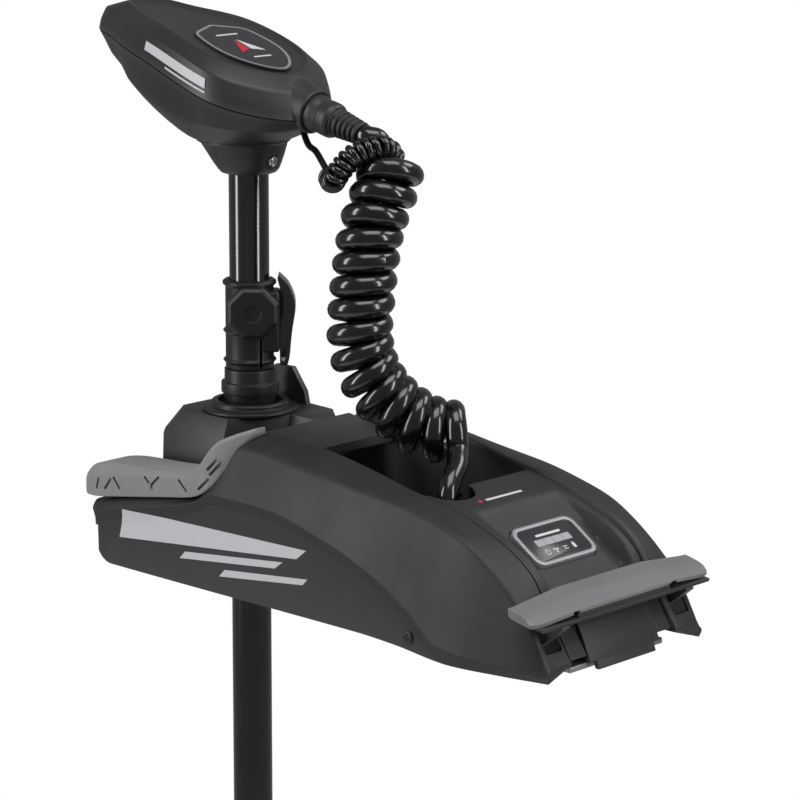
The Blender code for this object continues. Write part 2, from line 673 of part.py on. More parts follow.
# ---------------------------------------------------------------- depth collar
def depth_collar():
    """Split clamp collar with ring beads and a round boss for the clamp bolt."""
    bore = MAST_RADIUS + RUNNING
    bead, body = 20.2, COLLAR_RADIUS
    profile = [(0, COLLAR_TOP), (body, COLLAR_TOP), (bead, COLLAR_TOP - 1.5), (bead, COLLAR_TOP - 3.5),
               (body, COLLAR_TOP - 5)]
    for z in (182, 159.5):
        profile += [(body, z + 2.2), (bead, z), (body, z - 2.2)]
    profile += [(body, COLLAR_BOTTOM), (0, COLLAR_BOTTOM)]
    body = to_mesh(turned("depth_collar", profile, (0, 0, 0), "Z", 24))
    boss = cylinder("boss", 17.5, 14, (6, -17.5, 198), "Y", 24)
    ear = box("ear", (9, 21.5), (-15, -6), (165, 212))
    body = join(body, [boss, ear])
    cutters = [cylinder("bore", bore, 120, (0, 0, 190), "Z", 32, CUTTERS),
               box("split", (8.2, 10), (-40, -10), (150, 181.5), CUTTERS)]
    body = cut(body, cutters)
    return dress(turn_about(body, (0, 0, 0), "Z", COLLAR_YAW), "black_rubber")


def clamp_lever():
    """Cam lever: a bowed handle that closes against the collar's side."""
    x, _, z = LEVER_PIN
    outline = [(x - 2.5, z - 5), (x + 3, z - 5), (x + 4.5, z), (x + 6, z + 18), (x + 9, z + 35),
               (x + 9, z + 45),
               (x + 4, z + 57), (x - 3.5, z + 64), (x - 4.3, z + 61), (x - 2, z + 54), (x - 1, z + 48),
               (x - 1, z + 40), (x - 2, z + 30), (x - 2.5, z + 20), (x - 2.8, z + 8)]
    lever = prism("clamp_lever", outline, (-8.5, 8.5), "XZ")
    bore = cylinder("bore", 1.5 + RUNNING, 40, LEVER_PIN, "Y", 16, CUTTERS)
    lever = cut(lever, [bore])
    pin = cylinder("lever_pin", 1.5, 19, LEVER_PIN, "Y", 16)
    turn_about(lever, (0, 0, 0), "Z", COLLAR_YAW)
    turn_about(pin, (0, 0, 0), "Z", COLLAR_YAW)
    return dress(lever, "gloss_black", smooth=False), dress(pin, "stainless")


# ---------------------------------------------------------------- mast and head
def mast_tube():
    r, inner = MAST_RADIUS, MAST_RADIUS - MAST_WALL
    profile = [(r, MAST_TOP), (r, MAST_BOTTOM), (inner, MAST_BOTTOM), (inner, MAST_TOP)]
    return dress(turned("mast_tube", profile, (0, 0, 0), "Z", 32), "gloss_black")


HEAD_PLAN = [(-147, 0), (-144, 12), (-138, 23), (-112, 34), (-84, 45), (-44, 56), (0, 60), (28, 55), (50, 38),
             (64, 18), (69, 0)]
PART_LINE = [(-147, 401), (-112, 396.5), (-84, 390.5), (-51, 383.7), (-18, 373.3), (16, 361.4), (37, 354.5),
             (50, 350.5), (69, 346)]
TOP_LINE = [(-147, 415.5), (-138, 417), (-110, 414), (-82, 408.5), (-60, 405), (-45, 401.8), (45, 371.2),
            (56, 368), (69, 365)]
BOWL_LINE = [(-147, 398), (-134, 387), (-118, 371.5), (-98, 358.5), (-86, 346), (-70, 337.5), (-50, 331.5),
             (-28, 327.5), (0, 326), (40, 329.5), (69, 338)]
HEAD_MIDDLE = -20.0
PANEL_RISE = 5.5
PANEL_SLOPE = 0.34
LABEL_HALF = [(-44, 0), (-33, 27), (-10, 31), (9, 29.5), (25, 22), (37, 11), (42, 0)]


def head_ring(scale, line, rise=0.0, count=24):
    """Points round the head's plan, scaled about its middle, at the height of a line along it."""
    ring = []
    xs, ws = [p[0] for p in HEAD_PLAN], [p[1] for p in HEAD_PLAN]
    reach, centre = (xs[-1] - xs[0]) / 2, (xs[-1] + xs[0]) / 2
    for i in range(count):
        angle = 2 * math.pi * i / count
        x = centre - reach * math.cos(angle)
        w = math.copysign(float(np.interp(x, xs, ws)), math.sin(angle))
        if i in (0, count // 2):
            w = 0.0
        x_in = HEAD_MIDDLE + (x - HEAD_MIDDLE) * scale
        ring.append(at(x_in, w * scale, along(line, x_in) + rise))
    return ring


def head_upper_cover():
    """Upper shell: side wall, light bevel band and flat sunk panel, open round the cable boss."""
    wall = head_ring(1.0, PART_LINE)
    crease = head_ring(0.94, TOP_LINE)
    crown = head_ring(0.76, TOP_LINE, PANEL_RISE + 3)
    panel = head_ring(0.70, TOP_LINE, PANEL_RISE)
    middle = head_ring(0.30, TOP_LINE, PANEL_RISE)
    shell = loft("head_upper_cover", [wall, crease, crown, panel, middle], caps=(False, True))
    thicken(shell, 2.2)
    bpy.context.view_layer.update()
    shell = to_mesh(shell)
    return dress(cut(shell, [gland_hole()]), "cover_plastic")


def head_lower_cover():
    """Lower shell: bowl and tapered neck round the mast, with its clamp screws' bosses."""
    top = [p - Vector((0, 0, 0.0012)) for p in head_ring(0.995, PART_LINE)]
    flank = [a.lerp(b, 0.55) for a, b in zip(top, head_ring(0.86, BOWL_LINE))]
    low = head_ring(0.62, BOWL_LINE, -1)
    count = len(top)
    neck = []
    for radius, z, shift in ((34, 324, -5), (23.5, 306, 0), (18, NECK_BOTTOM, 0)):
        turns = [2 * math.pi * i / count for i in range(count)]
        neck.append([at(shift - radius * math.cos(a), radius * math.sin(a), z) for a in turns])
    shell = loft("head_lower_cover", [top, flank, low] + neck, caps=(False, False))
    thicken(shell, 2.2)
    bpy.context.view_layer.update()
    shell = to_mesh(shell)
    shell = join(shell, [cylinder("collar", 20.5, 20, (0, 0, NECK_SCREW_Z), "Z", 32),
                         cylinder("boss", 7, 2 * NECK_SCREW_X - 0.6, (0, 0, NECK_SCREW_Z), "X", 20)])
    bores = [cylinder("bore", MAST_RADIUS + GAP, 60, (0, 0, NECK_SCREW_Z), "Z", 32, CUTTERS), gland_hole()]
    for sign in (-1, 1):
        bores.append(cylinder("screw_bore", 2.1, 40, (sign * 24, 0, NECK_SCREW_Z), "X", 12, CUTTERS))
        bores.append(cylinder("spot_face", 4.8, 20, (sign * (NECK_SCREW_X + 9.7), 0, NECK_SCREW_Z), "X", 16,
                              CUTTERS))
    return dress(cut(shell, bores), "cover_plastic")


def head_inside():
    xs = [-84, -30, 20, 44]
    half = [22, 36, 36, 22]
    outline = list(zip(xs, half)) + list(zip(xs[::-1], [-h for h in half[::-1]]))
    board = prism("compass_board", outline, (-0.8, 0.8), "XY")
    board.matrix_world = (Matrix.Translation(at(-20, 0, 366)) @ Matrix.Rotation(math.radians(16), 4, "Y")
                          @ Matrix.Translation(-at(-20, 0, 0)))
    dress(board, "circuit_green", smooth=False)


def head_label():
    """Flat shield label on the sunk panel."""
    outline = LABEL_HALF + [(x, -y) for x, y in LABEL_HALF[-2:0:-1]]
    label = prism("head_label", outline, (GAP, 1.7), "XY")
    height = along(TOP_LINE, 0) + PANEL_RISE
    label.matrix_world = (Matrix.Translation(at(0, 0, height)) @ Matrix.Rotation(math.atan(PANEL_SLOPE), 4,
                                                                                 "Y")
                          @ Matrix.Translation(-at(0, 0, 0)))
    return dress(label, "dark_lens", smooth=False)


NECK_SCREW_X = 25.3
NECK_SCREW_Z = 312.0


def neck_screws():
    for name, x, turn in (("rear", NECK_SCREW_X, 0), ("front", -NECK_SCREW_X, math.pi)):
        screw = dress(pan_screw(name + "_neck_screw", (x, 0, NECK_SCREW_Z), "X", 4.2, 2.6, 5.5), "stainless")
        screw.rotation_euler = (0, math.pi / 2 + turn, 0)


GLAND_ROOT = (63.0, 0.0, 354.0)
GLAND_RADIUS = 14.0


def on_gland_axis(thing):
    """Moves a piece made upright at the mast's foot onto the cord's exit axis at the back of the head."""
    bpy.context.view_layer.update()
    frame = Matrix.Translation(at(*GLAND_ROOT)) @ Matrix.Rotation(math.radians(90 + GLAND_PITCH), 4, "Y")
    thing.matrix_world = frame @ Matrix.Translation(-at(0, 0, 0)) @ thing.matrix_world
    return thing


def gland_hole():
    return on_gland_axis(cylinder("gland_hole", GLAND_RADIUS + GAP, 60, (0, 0, 12), "Z", 24, CUTTERS))


def gland_parts():
    nut = turned("gland_nut", [(4.5, 30), (11.5, 30), (13.2, 27), (13.2, 19), (12.2, 17.5),
                               (GLAND_RADIUS, 12),
                               (GLAND_RADIUS, -4), (4.5, -4)], (0, 0, 0), "Z", 24)
    dress(on_gland_axis(nut), "gloss_black")
    profile = [(CORD_RADIUS, 56.0)]
    for i in range(3):
        z, r = 54.5 - 7.5 * i, 8.8 + 0.7 * i
        profile += [(r, z), (r, z - 4.5), (r - 1.1, z - 5.2)]
    profile += [(10.6, 30.3), (4.2, 30.3), (4.2, 56.0)]
    relief = turned("strain_relief", profile, (0, 0, 0), "Z", 20)
    dress(on_gland_axis(relief), "black_rubber")


# ---------------------------------------------------------------- lower unit
def pod_turned(name, profile, material_name, sides=24):
    """A turned piece on the pod's axis; heights in the profile are distances along +X from the mast."""
    return dress(turned(name, profile, (0, 0, POD_Z), "X", sides), material_name)


def lower_unit():
    r = POD_RADIUS
    shell = cylinder("motor_housing", r, 165, (12.5, 0, POD_Z), "X", 24)
    neck = loft("neck", [[at(a * k, b * k, z) for a, b in circle(1, 24)] for k, z in
                         ((17.5, MAST_BOTTOM + 40), (17.5, MAST_BOTTOM + 8), (24, POD_Z + 40))])
    shell = join(shell, [neck])
    cutters = [cylinder("bore", r - 4, 200, (12.5, 0, POD_Z), "X", 24, CUTTERS),
               cylinder("socket", MAST_RADIUS + GAP, 60, (0, 0, MAST_BOTTOM + 30 - GAP), "Z", 36, CUTTERS)]
    dress(cut(shell, cutters), "gloss_black")
    nose = [(0, -70 - GAP), (r, -70 - GAP), (43.5, -86), (37, -114), (25, -138), (12, -149), (0, -152)]
    pod_turned("nose_cone", nose, "gloss_black")
    bell = [(5.4, 128), (14, 128), (22, 122), (38, 108), (r, 97), (r, 95 + GAP), (r - 4.4, 95 + GAP),
            (r - 4.4, 91),
            (r - 8, 91), (r - 10, 99), (21, 110), (15, 112), (15, 96.5), (11.5, 96.5), (11.5, 104.3),
            (5.4, 104.3)]
    pod_turned("end_bell", bell, "gloss_black")
    skeg = prism("skeg", [(-58, POD_Z - r - 0.4), (52, POD_Z - r - 0.4), (58, POD_Z - r - 62),
                          (40, POD_Z - r - 78),
                          (8, POD_Z - r - 78)], (-2.5, 2.5), "XZ")
    dress(bevel(skeg, 1.2), "gloss_black", smooth=False)
    magnets = []
    yoke = to_mesh(turned("magnet_ring", [(r - 4.3, 40), (r - 4.3, -52), (r - 6.5, -52), (r - 6.5, 40)],
                          (0, 0, POD_Z), "X", 24))
    for side in (-1, 1):
        arc = [(math.radians(side * 90 + a)) for a in range(-60, 61, 20)]
        outer = [((r - 5.4) * math.cos(t), (r - 5.4) * math.sin(t)) for t in arc]
        inner_arc = [((r - 11) * math.cos(t), (r - 11) * math.sin(t)) for t in arc[::-1]]
        magnets.append(prism("magnet", [(a, POD_Z + b) for a, b in outer + inner_arc], (-48, 36), "YZ"))
    dress(join(yoke, magnets), "ferrite", smooth=False)
    card = to_mesh(turned("brush_ring", [(r - 4.5, 82), (r - 4.5, 78), (24, 78), (24, 82)], (0, 0, POD_Z),
                          "X", 24))
    holders = [box("brush", (66, 80), sorted((side * 15.4, side * 32)),
                   (POD_Z - 4, POD_Z + 4)) for side in (-1, 1)]
    dress(join(card, holders), "bronze", smooth=False)
    for name, low, high in (("nose", -69.2, -62), ("tail", 97, 104)):
        ring = [(11.2, high), (11.2, low), (5.4, low), (5.4, high)]
        dress(turned(name + "_bearing", ring, (0, 0, POD_Z), "X", 24), "stainless")


def rotor():
    spine = [(0, 158), (5, 158), (5, 86), (15, 86), (15, 58), (5, 58), (5, 50), (32.5, 50), (32.5, -56),
             (5, -56),
             (5, -69), (0, -69)]
    pod_turned("armature", spine, "bronze")
    hub = [(5.4, 156), (11, 156), (17, 149), (19, 136), (19, 130), (5.4, 130)]
    hub = to_mesh(turned("propeller", hub, (0, 0, POD_Z), "X", 24))
    blades = [propeller_blade(120 * i) for i in range(3)]
    propeller = join(hub, blades)
    bore = cylinder("bore", 5.4, 80, (145, 0, POD_Z), "X", 24, CUTTERS)
    pin_bore = cylinder("bore", 2.0, 30, (152.5, 0, POD_Z), "Y", 12, CUTTERS)
    propeller = cut(propeller, [bore, pin_bore])
    dress(propeller, "gloss_black")
    drive_pin = cylinder("drive_pin", 1.6, 24, (152.5, 0, POD_Z), "Y", 12)
    shaft = cut(bpy.data.objects["armature"], [cylinder("bore", 2.0, 30, (152.5, 0, POD_Z), "Y", 12,
                                                        CUTTERS)])
    dress(shaft, "bronze")
    dress(drive_pin, "stainless")
    pod_turned("prop_nut", [(0, 168), (6, 168), (9, 164), (9, 158.4), (0, 158.4)], "stainless", 6)


def propeller_blade(turn):
    """A swept blade: thin sections that twist from hub to tip."""
    sections = []
    for k in range(6):
        t = k / 5
        radius = 15 + (PROP_RADIUS - 15) * t
        chord = 34 + 46 * math.sin(math.pi * min(1, t * 1.02) * 0.62) - 40 * t ** 4
        pitch = math.radians(62 - 34 * t)
        sweep = 10 * t * t
        thick = 4.2 - 2.6 * t
        ring = []
        for a, b in ((-0.5, 0), (-0.25, 0.8), (0, 1), (0.25, 0.8), (0.5, 0), (0.25, -0.1), (0, -0.1),
                     (-0.25, -0.1)):
            u, v = a * chord + sweep, b * thick / 2
            x = 140 + (u * math.cos(pitch) + v * math.sin(pitch)) * 0.32
            y = u * math.sin(pitch) * 0.9 - v * math.cos(pitch)
            ring.append(at(x, y, POD_Z + radius))
        sections.append(ring)
    blade = loft("blade", sections)
    return turn_about(blade, (140, 0, POD_Z), "X", turn)


# ---------------------------------------------------------------- cords
START_ROUTE = [(120, 0, 339.7), (123, 0.4, 338.9), (128.5, 6, 335.5), (131, 15, 331)]
COIL_ROUTE = [(142.5, 0.8, 311), (142.8, -3.4, 303), (141.5, -15, 279), (141.2, -21.4, 253),
              (141, -25.4, 226),
              (141, -27.4, 201), (144.7, -25, 179), (153.3, -17.4, 159), (165.7, -7.4, 144),
              (179, 3.6, 134.2),
              (190.2, 12.8, 130.8), (195, 17.1, 130.1)]
LEAD_ROUTE = [(212.3, 10.9, 129.1), (216.5, 5.5, 120), (217.5, -8, 113), (222.5, -19.5, 106),
              (226, -26.5, 96),
              (227, -28, 84), (227, -28, 70), (227, -28, 58)]
SENSOR_LEAD_ROUTE = [(62, -1, 328.5), (66, -3, 328), (78.3, -8, 325), (91, -14, 318.5), (100.8, -18.5, 313)]
SENSOR_UPPER_ROUTE = [(102.3, -19.2, 312), (113.3, -27, 309), (122.3, -33, 313.6), (127.9, -30, 322),
                      (131.4, -25, 328), (135.7, -20, 331.5), (139.9, -13.5, 333.5), (142, -7.5, 334)]
SENSOR_LOWER_ROUTE = [(208, -5, 97), (210.5, -8.5, 88), (211.6, -12, 76), (211, -12, 59.5)]


def cord_solid(name, route, radius, count, resolution=2):
    """A plain round solid along a cord's route: its own size where straight, its coil's where coiled."""
    places = smooth_route([at(*place) for place in route], count)
    return dress(tube(name, places, radius, resolution), "cord_jacket")


def cords():
    cord_solid("main_cord_start", START_ROUTE, CORD_RADIUS, 8)
    cord_solid("main_cord_coil", COIL_ROUTE, COIL_RADIUS, 22)
    cord_solid("main_cord_lead", LEAD_ROUTE, CORD_RADIUS, 14)
    cord_solid("sensor_cord_lead", SENSOR_LEAD_ROUTE, SENSOR_CORD_RADIUS, 8)
    cord_solid("sensor_cord_upper", SENSOR_UPPER_ROUTE, SENSOR_COIL_RADIUS, 12)
    cord_solid("sensor_cord_lower", SENSOR_LOWER_ROUTE, SENSOR_COIL_RADIUS, 5)


# ---------------------------------------------------------------- joint frames
def axis_empty(name, place, parent=None):
    empty = bpy.data.objects.new(name, None)
    empty.empty_display_size = 0.03
    empty.location = at(*place)
    PARTS.objects.link(empty)
    if parent:
        hang([name], parent)
    return empty


def hang(child_names, parent):
    """Parents objects to a joint's empty and keeps them where they are."""
    bpy.context.view_layer.update()
    for name in child_names:
        child = bpy.data.objects[name]
        child.parent = parent
        child.matrix_parent_inverse = parent.matrix_world.inverted()


COLUMN_PARTS = ["mast_tube", "head_lower_cover", "head_upper_cover", "head_label", "compass_board",
                "rear_neck_screw", "front_neck_screw", "gland_nut", "strain_relief", "motor_housing",
                "nose_cone",
                "end_bell", "skeg", "magnet_ring", "brush_ring", "nose_bearing", "tail_bearing"]


def main():
    mount_frame()
    for name, side in (("near", -1), ("far", 1)):
        side_cover(name + "_side_cover", side)
        motor_rest(name + "_motor_rest", side)
    dash_cover()
    display_parts()
    end_flap()
    motor_controller()
    cord_gland()
    tilt_pin()
    latch_pin()
    pedal_parts()
    pedal_spring()
    latch_parts()
    steering_housing()
    top_flange()
    carriage_bracket()
    carriage_drive()
    drive_sleeve()
    worm_wheel()
    depth_collar()
    clamp_lever()
    mast_tube()
    head_upper_cover()
    head_lower_cover()
    head_inside()
    head_label()
    neck_screws()
    gland_parts()
    lower_unit()
    rotor()
    cords()

    tilt = axis_empty("tilt_axis", (TILT_X, 0, TILT_Z))
    steer = axis_empty("steering_axis", (0, 0, HOUSING_TOP), tilt)
    slide = axis_empty("mast_slide_axis", (0, 0, SLEEVE_TOP), steer)
    collar = axis_empty("collar_slide_axis", (0, 0, COLLAR_BOTTOM), slide)
    lever_place = Matrix.Rotation(math.radians(COLLAR_YAW), 3, "Z") @ Vector(LEVER_PIN)
    lever = axis_empty("lever_axis", lever_place, collar)
    prop = axis_empty("propeller_axis", (150, 0, POD_Z), slide)
    worm = axis_empty("worm_axis", WORM_CENTRE, tilt)
    pedal = axis_empty("pedal_axis", (PEDAL_PIN_X, 0, PEDAL_PIN_Z))
    latch = axis_empty("latch_axis", (LATCH_PIN[0], ROD_Y - 10, LATCH_PIN[1]))
    hang(["steering_housing", "top_flange", "carriage_bracket", "steering_motor", "lower_sleeve_bearing",
          "upper_sleeve_bearing"], tilt)
    hang(["steering_worm"], worm)
    hang(["drive_sleeve", "worm_wheel"], steer)
    hang(COLUMN_PARTS, slide)
    hang(["depth_collar", "lever_pin"], collar)
    hang(["clamp_lever"], lever)
    hang(["armature", "propeller", "drive_pin", "prop_nut"], prop)
    hang(["pedal_lever", "pedal_pad"], pedal)
    hang(["latch_hook"], latch)


main()
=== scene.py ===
"""Looks of the bow-mount trolling motor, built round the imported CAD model.

Lengths in the helpers are millimetres, with X measured from the mast's axis and Z from the deck.
"""
import json
import math

import bmesh
import bpy
import numpy as np
from mathutils import Matrix, Vector

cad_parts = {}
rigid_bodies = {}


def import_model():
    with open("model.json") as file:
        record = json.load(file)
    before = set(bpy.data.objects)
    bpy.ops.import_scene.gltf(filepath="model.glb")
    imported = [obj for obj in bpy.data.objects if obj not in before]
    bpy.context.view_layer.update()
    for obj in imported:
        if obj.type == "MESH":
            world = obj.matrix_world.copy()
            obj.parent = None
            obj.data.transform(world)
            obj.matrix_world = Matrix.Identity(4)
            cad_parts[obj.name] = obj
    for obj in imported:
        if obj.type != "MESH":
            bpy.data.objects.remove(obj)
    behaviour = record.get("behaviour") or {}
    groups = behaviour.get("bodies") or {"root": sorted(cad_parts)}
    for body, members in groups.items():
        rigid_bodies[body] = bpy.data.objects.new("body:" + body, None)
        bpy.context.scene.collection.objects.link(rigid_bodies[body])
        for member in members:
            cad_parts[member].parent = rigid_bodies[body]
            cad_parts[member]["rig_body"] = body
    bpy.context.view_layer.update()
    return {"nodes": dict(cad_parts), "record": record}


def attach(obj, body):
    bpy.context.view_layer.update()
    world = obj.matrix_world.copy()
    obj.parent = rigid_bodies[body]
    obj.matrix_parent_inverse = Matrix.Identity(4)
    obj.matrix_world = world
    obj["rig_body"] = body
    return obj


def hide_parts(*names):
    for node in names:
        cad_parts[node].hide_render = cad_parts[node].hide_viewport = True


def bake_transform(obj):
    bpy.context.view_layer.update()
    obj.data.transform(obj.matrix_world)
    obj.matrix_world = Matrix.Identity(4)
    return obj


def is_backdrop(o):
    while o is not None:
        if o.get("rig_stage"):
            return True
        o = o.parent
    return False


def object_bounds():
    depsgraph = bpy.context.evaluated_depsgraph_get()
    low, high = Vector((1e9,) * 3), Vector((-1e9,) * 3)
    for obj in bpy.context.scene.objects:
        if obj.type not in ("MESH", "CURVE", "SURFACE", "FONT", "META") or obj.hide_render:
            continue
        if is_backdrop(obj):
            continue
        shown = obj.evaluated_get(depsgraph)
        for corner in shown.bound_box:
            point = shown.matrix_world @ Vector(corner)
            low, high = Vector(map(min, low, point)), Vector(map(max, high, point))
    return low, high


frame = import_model()
NODES = frame["nodes"]
MAST_X = -210.0
NECK_SCREW = (25.3, 312)
NECK_HOLE_RADIUS = 4.8
SHELL_WALL = 2.2
PEDAL_BOW = 4.6
COIL_WIRE_RADIUS, COIL_HELIX_RADIUS, COIL_TURNS = 7.9, 16.3, 14
LEAD_RADIUS = 7.8
THIN_WIRE_RADIUS = 2.5
OUTWARD = np.array((0.66, -0.75, 0.0))


def at(x, y, z):
    """A place in mm from the mast's axis, the centre plane and the deck, in metres."""
    return Vector(((MAST_X + x) / 1000, y / 1000, z / 1000))


# ---------------------------------------------------------------- camera
def make_camera():
    aim, distance = Vector((-0.055178, 0.0, 0.150988)), 2.311253
    azimuth, elevation, roll = (math.radians(v) for v in (43.02, 12.378, 0.164))
    back = Vector((math.sin(azimuth) * math.cos(elevation), -math.cos(azimuth) * math.cos(elevation),
                   math.sin(elevation)))
    side = Vector((math.cos(azimuth), math.sin(azimuth), 0))
    up = back.cross(side)
    right = side * math.cos(roll) + up * math.sin(roll)
    top = up * math.cos(roll) - side * math.sin(roll)
    data = bpy.data.cameras.new("camera")
    data.lens, data.sensor_width = 144.0, 36.0
    camera = bpy.data.objects.new("camera", data)
    bpy.context.scene.collection.objects.link(camera)
    camera.matrix_world = Matrix.Translation(aim + back * distance) @ Matrix((right, top,
                                                                              back)).transposed().to_4x4()
    bpy.context.scene.camera = camera


make_camera()


# ---------------------------------------------------------------- materials
def node(tree, kind, **values):
    made = tree.nodes.new(kind)
    for key, value in values.items():
        if key in made.inputs:
            made.inputs[key].default_value = value
        else:
            setattr(made, key, value)
    return made


def mapped(tree, source, low, high, new_low, new_high):
    ranger = tree.nodes.new("ShaderNodeMapRange")
    for index, value in enumerate((low, high, new_low, new_high), 1):
        ranger.inputs[index].default_value = value
    tree.links.new(source, ranger.inputs[0])
    return ranger.outputs[0]


def surface(name, colour, rough, tone=0.12, spread=0.06, grain=0.0, size=0.8, depth=0.04, metal=0.0, coat=0.0,
            coat_rough=0.08, wear=0.0, specular=0.5):
    """A finish with clouded colour, varying roughness, a fine grain and lighter worn edges."""
    made = bpy.data.materials.new(name)
    made.use_nodes = True
    tree = made.node_tree
    shader = tree.nodes["Principled BSDF"]
    shader.inputs["Metallic"].default_value = metal
    shader.inputs["Coat Weight"].default_value = coat
    shader.inputs["Coat Roughness"].default_value = coat_rough
    shader.inputs["Specular IOR Level"].default_value = specular
    place = node(tree, "ShaderNodeTexCoord")
    cloud = node(tree, "ShaderNodeTexNoise", Scale=14.0, Detail=5.0, Roughness=0.6)
    tree.links.new(place.outputs["Object"], cloud.inputs["Vector"])
    ramp = node(tree, "ShaderNodeValToRGB")
    ramp.color_ramp.elements[0].position, ramp.color_ramp.elements[1].position = 0.32, 0.70
    ramp.color_ramp.elements[0].color = (*[c * (1 - tone) for c in colour], 1)
    ramp.color_ramp.elements[1].color = (*[c * (1 + tone) for c in colour], 1)
    tree.links.new(cloud.outputs["Fac"], ramp.inputs["Fac"])
    colour_out = ramp.outputs["Color"]
    if wear:
        geometry = node(tree, "ShaderNodeNewGeometry")
        edge = mapped(tree, geometry.outputs["Pointiness"], 0.515, 0.60, 0.0, wear)
        mix = node(tree, "ShaderNodeMix", data_type="RGBA")
        mix.inputs["B"].default_value = (*[min(1.0, c * 1.8 + 0.02) for c in colour], 1)
        tree.links.new(edge, mix.inputs["Factor"])
        tree.links.new(colour_out, mix.inputs["A"])
        colour_out = mix.outputs["Result"]
    tree.links.new(colour_out, shader.inputs["Base Color"])
    fine = node(tree, "ShaderNodeTexNoise", Scale=1000.0 / size, Detail=3.0, Roughness=0.55)
    tree.links.new(place.outputs["Object"], fine.inputs["Vector"])
    tree.links.new(mapped(tree, cloud.outputs["Fac"], 0.3, 0.7, rough - spread, rough + spread),
                   shader.inputs["Roughness"])
    if grain:
        bump = node(tree, "ShaderNodeBump", Strength=grain, Distance=depth / 1000)
        tree.links.new(fine.outputs["Fac"], bump.inputs["Height"])
        tree.links.new(bump.outputs["Normal"], shader.inputs["Normal"])
    return made


COVER = surface("textured_cover_plastic", (0.016, 0.0165, 0.0185), 0.52, grain=0.55, size=0.9, depth=0.05,
                wear=0.5,
                specular=0.38)
HOUSING = surface("gear_case_plastic", (0.017, 0.0175, 0.019), 0.46, grain=0.5, size=0.8, depth=0.05,
                  wear=0.5,
                  specular=0.38)
HEAD_TOP = surface("head_satin_plastic", (0.019, 0.0195, 0.021), 0.42, grain=0.35, size=0.8, depth=0.04,
                   wear=0.4,
                   specular=0.4)
GLOSS = surface("gloss_black_coating", (0.006, 0.006, 0.0065), 0.16, tone=0.2, spread=0.03, grain=0.05,
                size=6.0,
                depth=0.03, coat=0.5, coat_rough=0.12)
COLLAR = surface("black_moulded_nylon", (0.010, 0.010, 0.0105), 0.42, grain=0.3, size=0.9, depth=0.05,
                 wear=0.35,
                 specular=0.38)
CORD = surface("gloss_cord_jacket", (0.0035, 0.0035, 0.0035), 0.22, tone=0.2, spread=0.05, grain=0.06,
               size=2.5,
               depth=0.04, coat=0.5, coat_rough=0.08, specular=0.35)
SOFT_BLACK = surface("matt_black_rubber", (0.010, 0.010, 0.010), 0.55, grain=0.4, size=0.9, depth=0.05)
REST = surface("grey_rest_rubber", (0.20, 0.203, 0.208), 0.66, tone=0.05, grain=0.5, size=0.8, depth=0.05,
               wear=0.3)
PEDAL = surface("grey_pedal_rubber", (0.125, 0.128, 0.133), 0.60, tone=0.05, grain=0.45, size=0.8, depth=0.05,
                wear=0.3)
SILVER = surface("silver_frame_paint", (0.26, 0.27, 0.285), 0.42, tone=0.04, grain=0.2, size=0.5, depth=0.02,
                 metal=0.35)
LENS = surface("smoked_lens", (0.024, 0.025, 0.028), 0.30, tone=0.05, coat=0.2, coat_rough=0.15, specular=0.3)
LABEL = surface("label_film", (0.030, 0.031, 0.034), 0.45, tone=0.05, grain=0.1, size=0.5, depth=0.01,
                specular=0.2)
PRINT = surface("pale_print", (0.50, 0.51, 0.53), 0.50, tone=0.03, grain=0.1, size=0.5, depth=0.01)
RED_PRINT = surface("red_print", (0.42, 0.012, 0.03), 0.40, tone=0.04, grain=0.1, size=0.5, depth=0.01)
STEEL = surface("stainless_steel", (0.55, 0.54, 0.52), 0.28, tone=0.05, grain=0.25, size=0.5, depth=0.02,
                metal=1.0)
ZINC = surface("zinc_strip", (0.50, 0.47, 0.40), 0.35, tone=0.06, grain=0.25, size=0.5, depth=0.02, metal=0.9)
ALUMINIUM = surface("cast_aluminium", (0.30, 0.30, 0.31), 0.45, tone=0.08, grain=0.4, size=0.9, depth=0.05,
                    metal=0.9)
BRASS = surface("machined_brass", (0.60, 0.40, 0.14), 0.30, metal=1.0, grain=0.2, size=0.5, depth=0.02)
COPPER = surface("copper_windings", (0.48, 0.22, 0.10), 0.35, metal=1.0, grain=0.3, size=0.6, depth=0.03)
FERRITE = surface("ferrite", (0.05, 0.05, 0.055), 0.55, grain=0.3, size=0.7)
BOARD = surface("circuit_board", (0.012, 0.11, 0.04), 0.42, tone=0.25, grain=0.5, size=2.0, depth=0.05)
NYLON = surface("natural_nylon", (0.50, 0.48, 0.43), 0.50, grain=0.1)
BAR_LIGHT = surface("indicator_bar", (0.27, 0.28, 0.30), 0.40, tone=0.04, grain=0.1, size=0.5, depth=0.01)
RIVET = surface("dark_rivet", (0.16, 0.16, 0.17), 0.35, metal=0.8, grain=0.1)


# ---------------------------------------------------------------- geometry helpers
def piece(name, verts, faces, material, body, nodes=(), sharp=35, ride=True):
    mesh = bpy.data.meshes.new(name)
    mesh.from_pydata([tuple(v) for v in verts], [], faces)
    bm = bmesh.new()
    bm.from_mesh(mesh)
    bmesh.ops.remove_doubles(bm, verts=bm.verts, dist=0.000002)
    bmesh.ops.recalc_face_normals(bm, faces=bm.faces)
    bm.to_mesh(mesh)
    bm.free()
    return finish_piece(bpy.data.objects.new(name, mesh), material, body, nodes, sharp, ride)


def finish_piece(thing, material, body, nodes=(), sharp=35, ride=True):
    if not thing.users_collection:
        bpy.context.scene.collection.objects.link(thing)
    thing.data.materials.clear()
    thing.data.materials.append(material)
    thing.data.shade_smooth()
    thing.data.set_sharp_from_angle(angle=math.radians(sharp))
    if ride:
        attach(thing, body)
    if nodes:
        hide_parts(*nodes)
    return thing


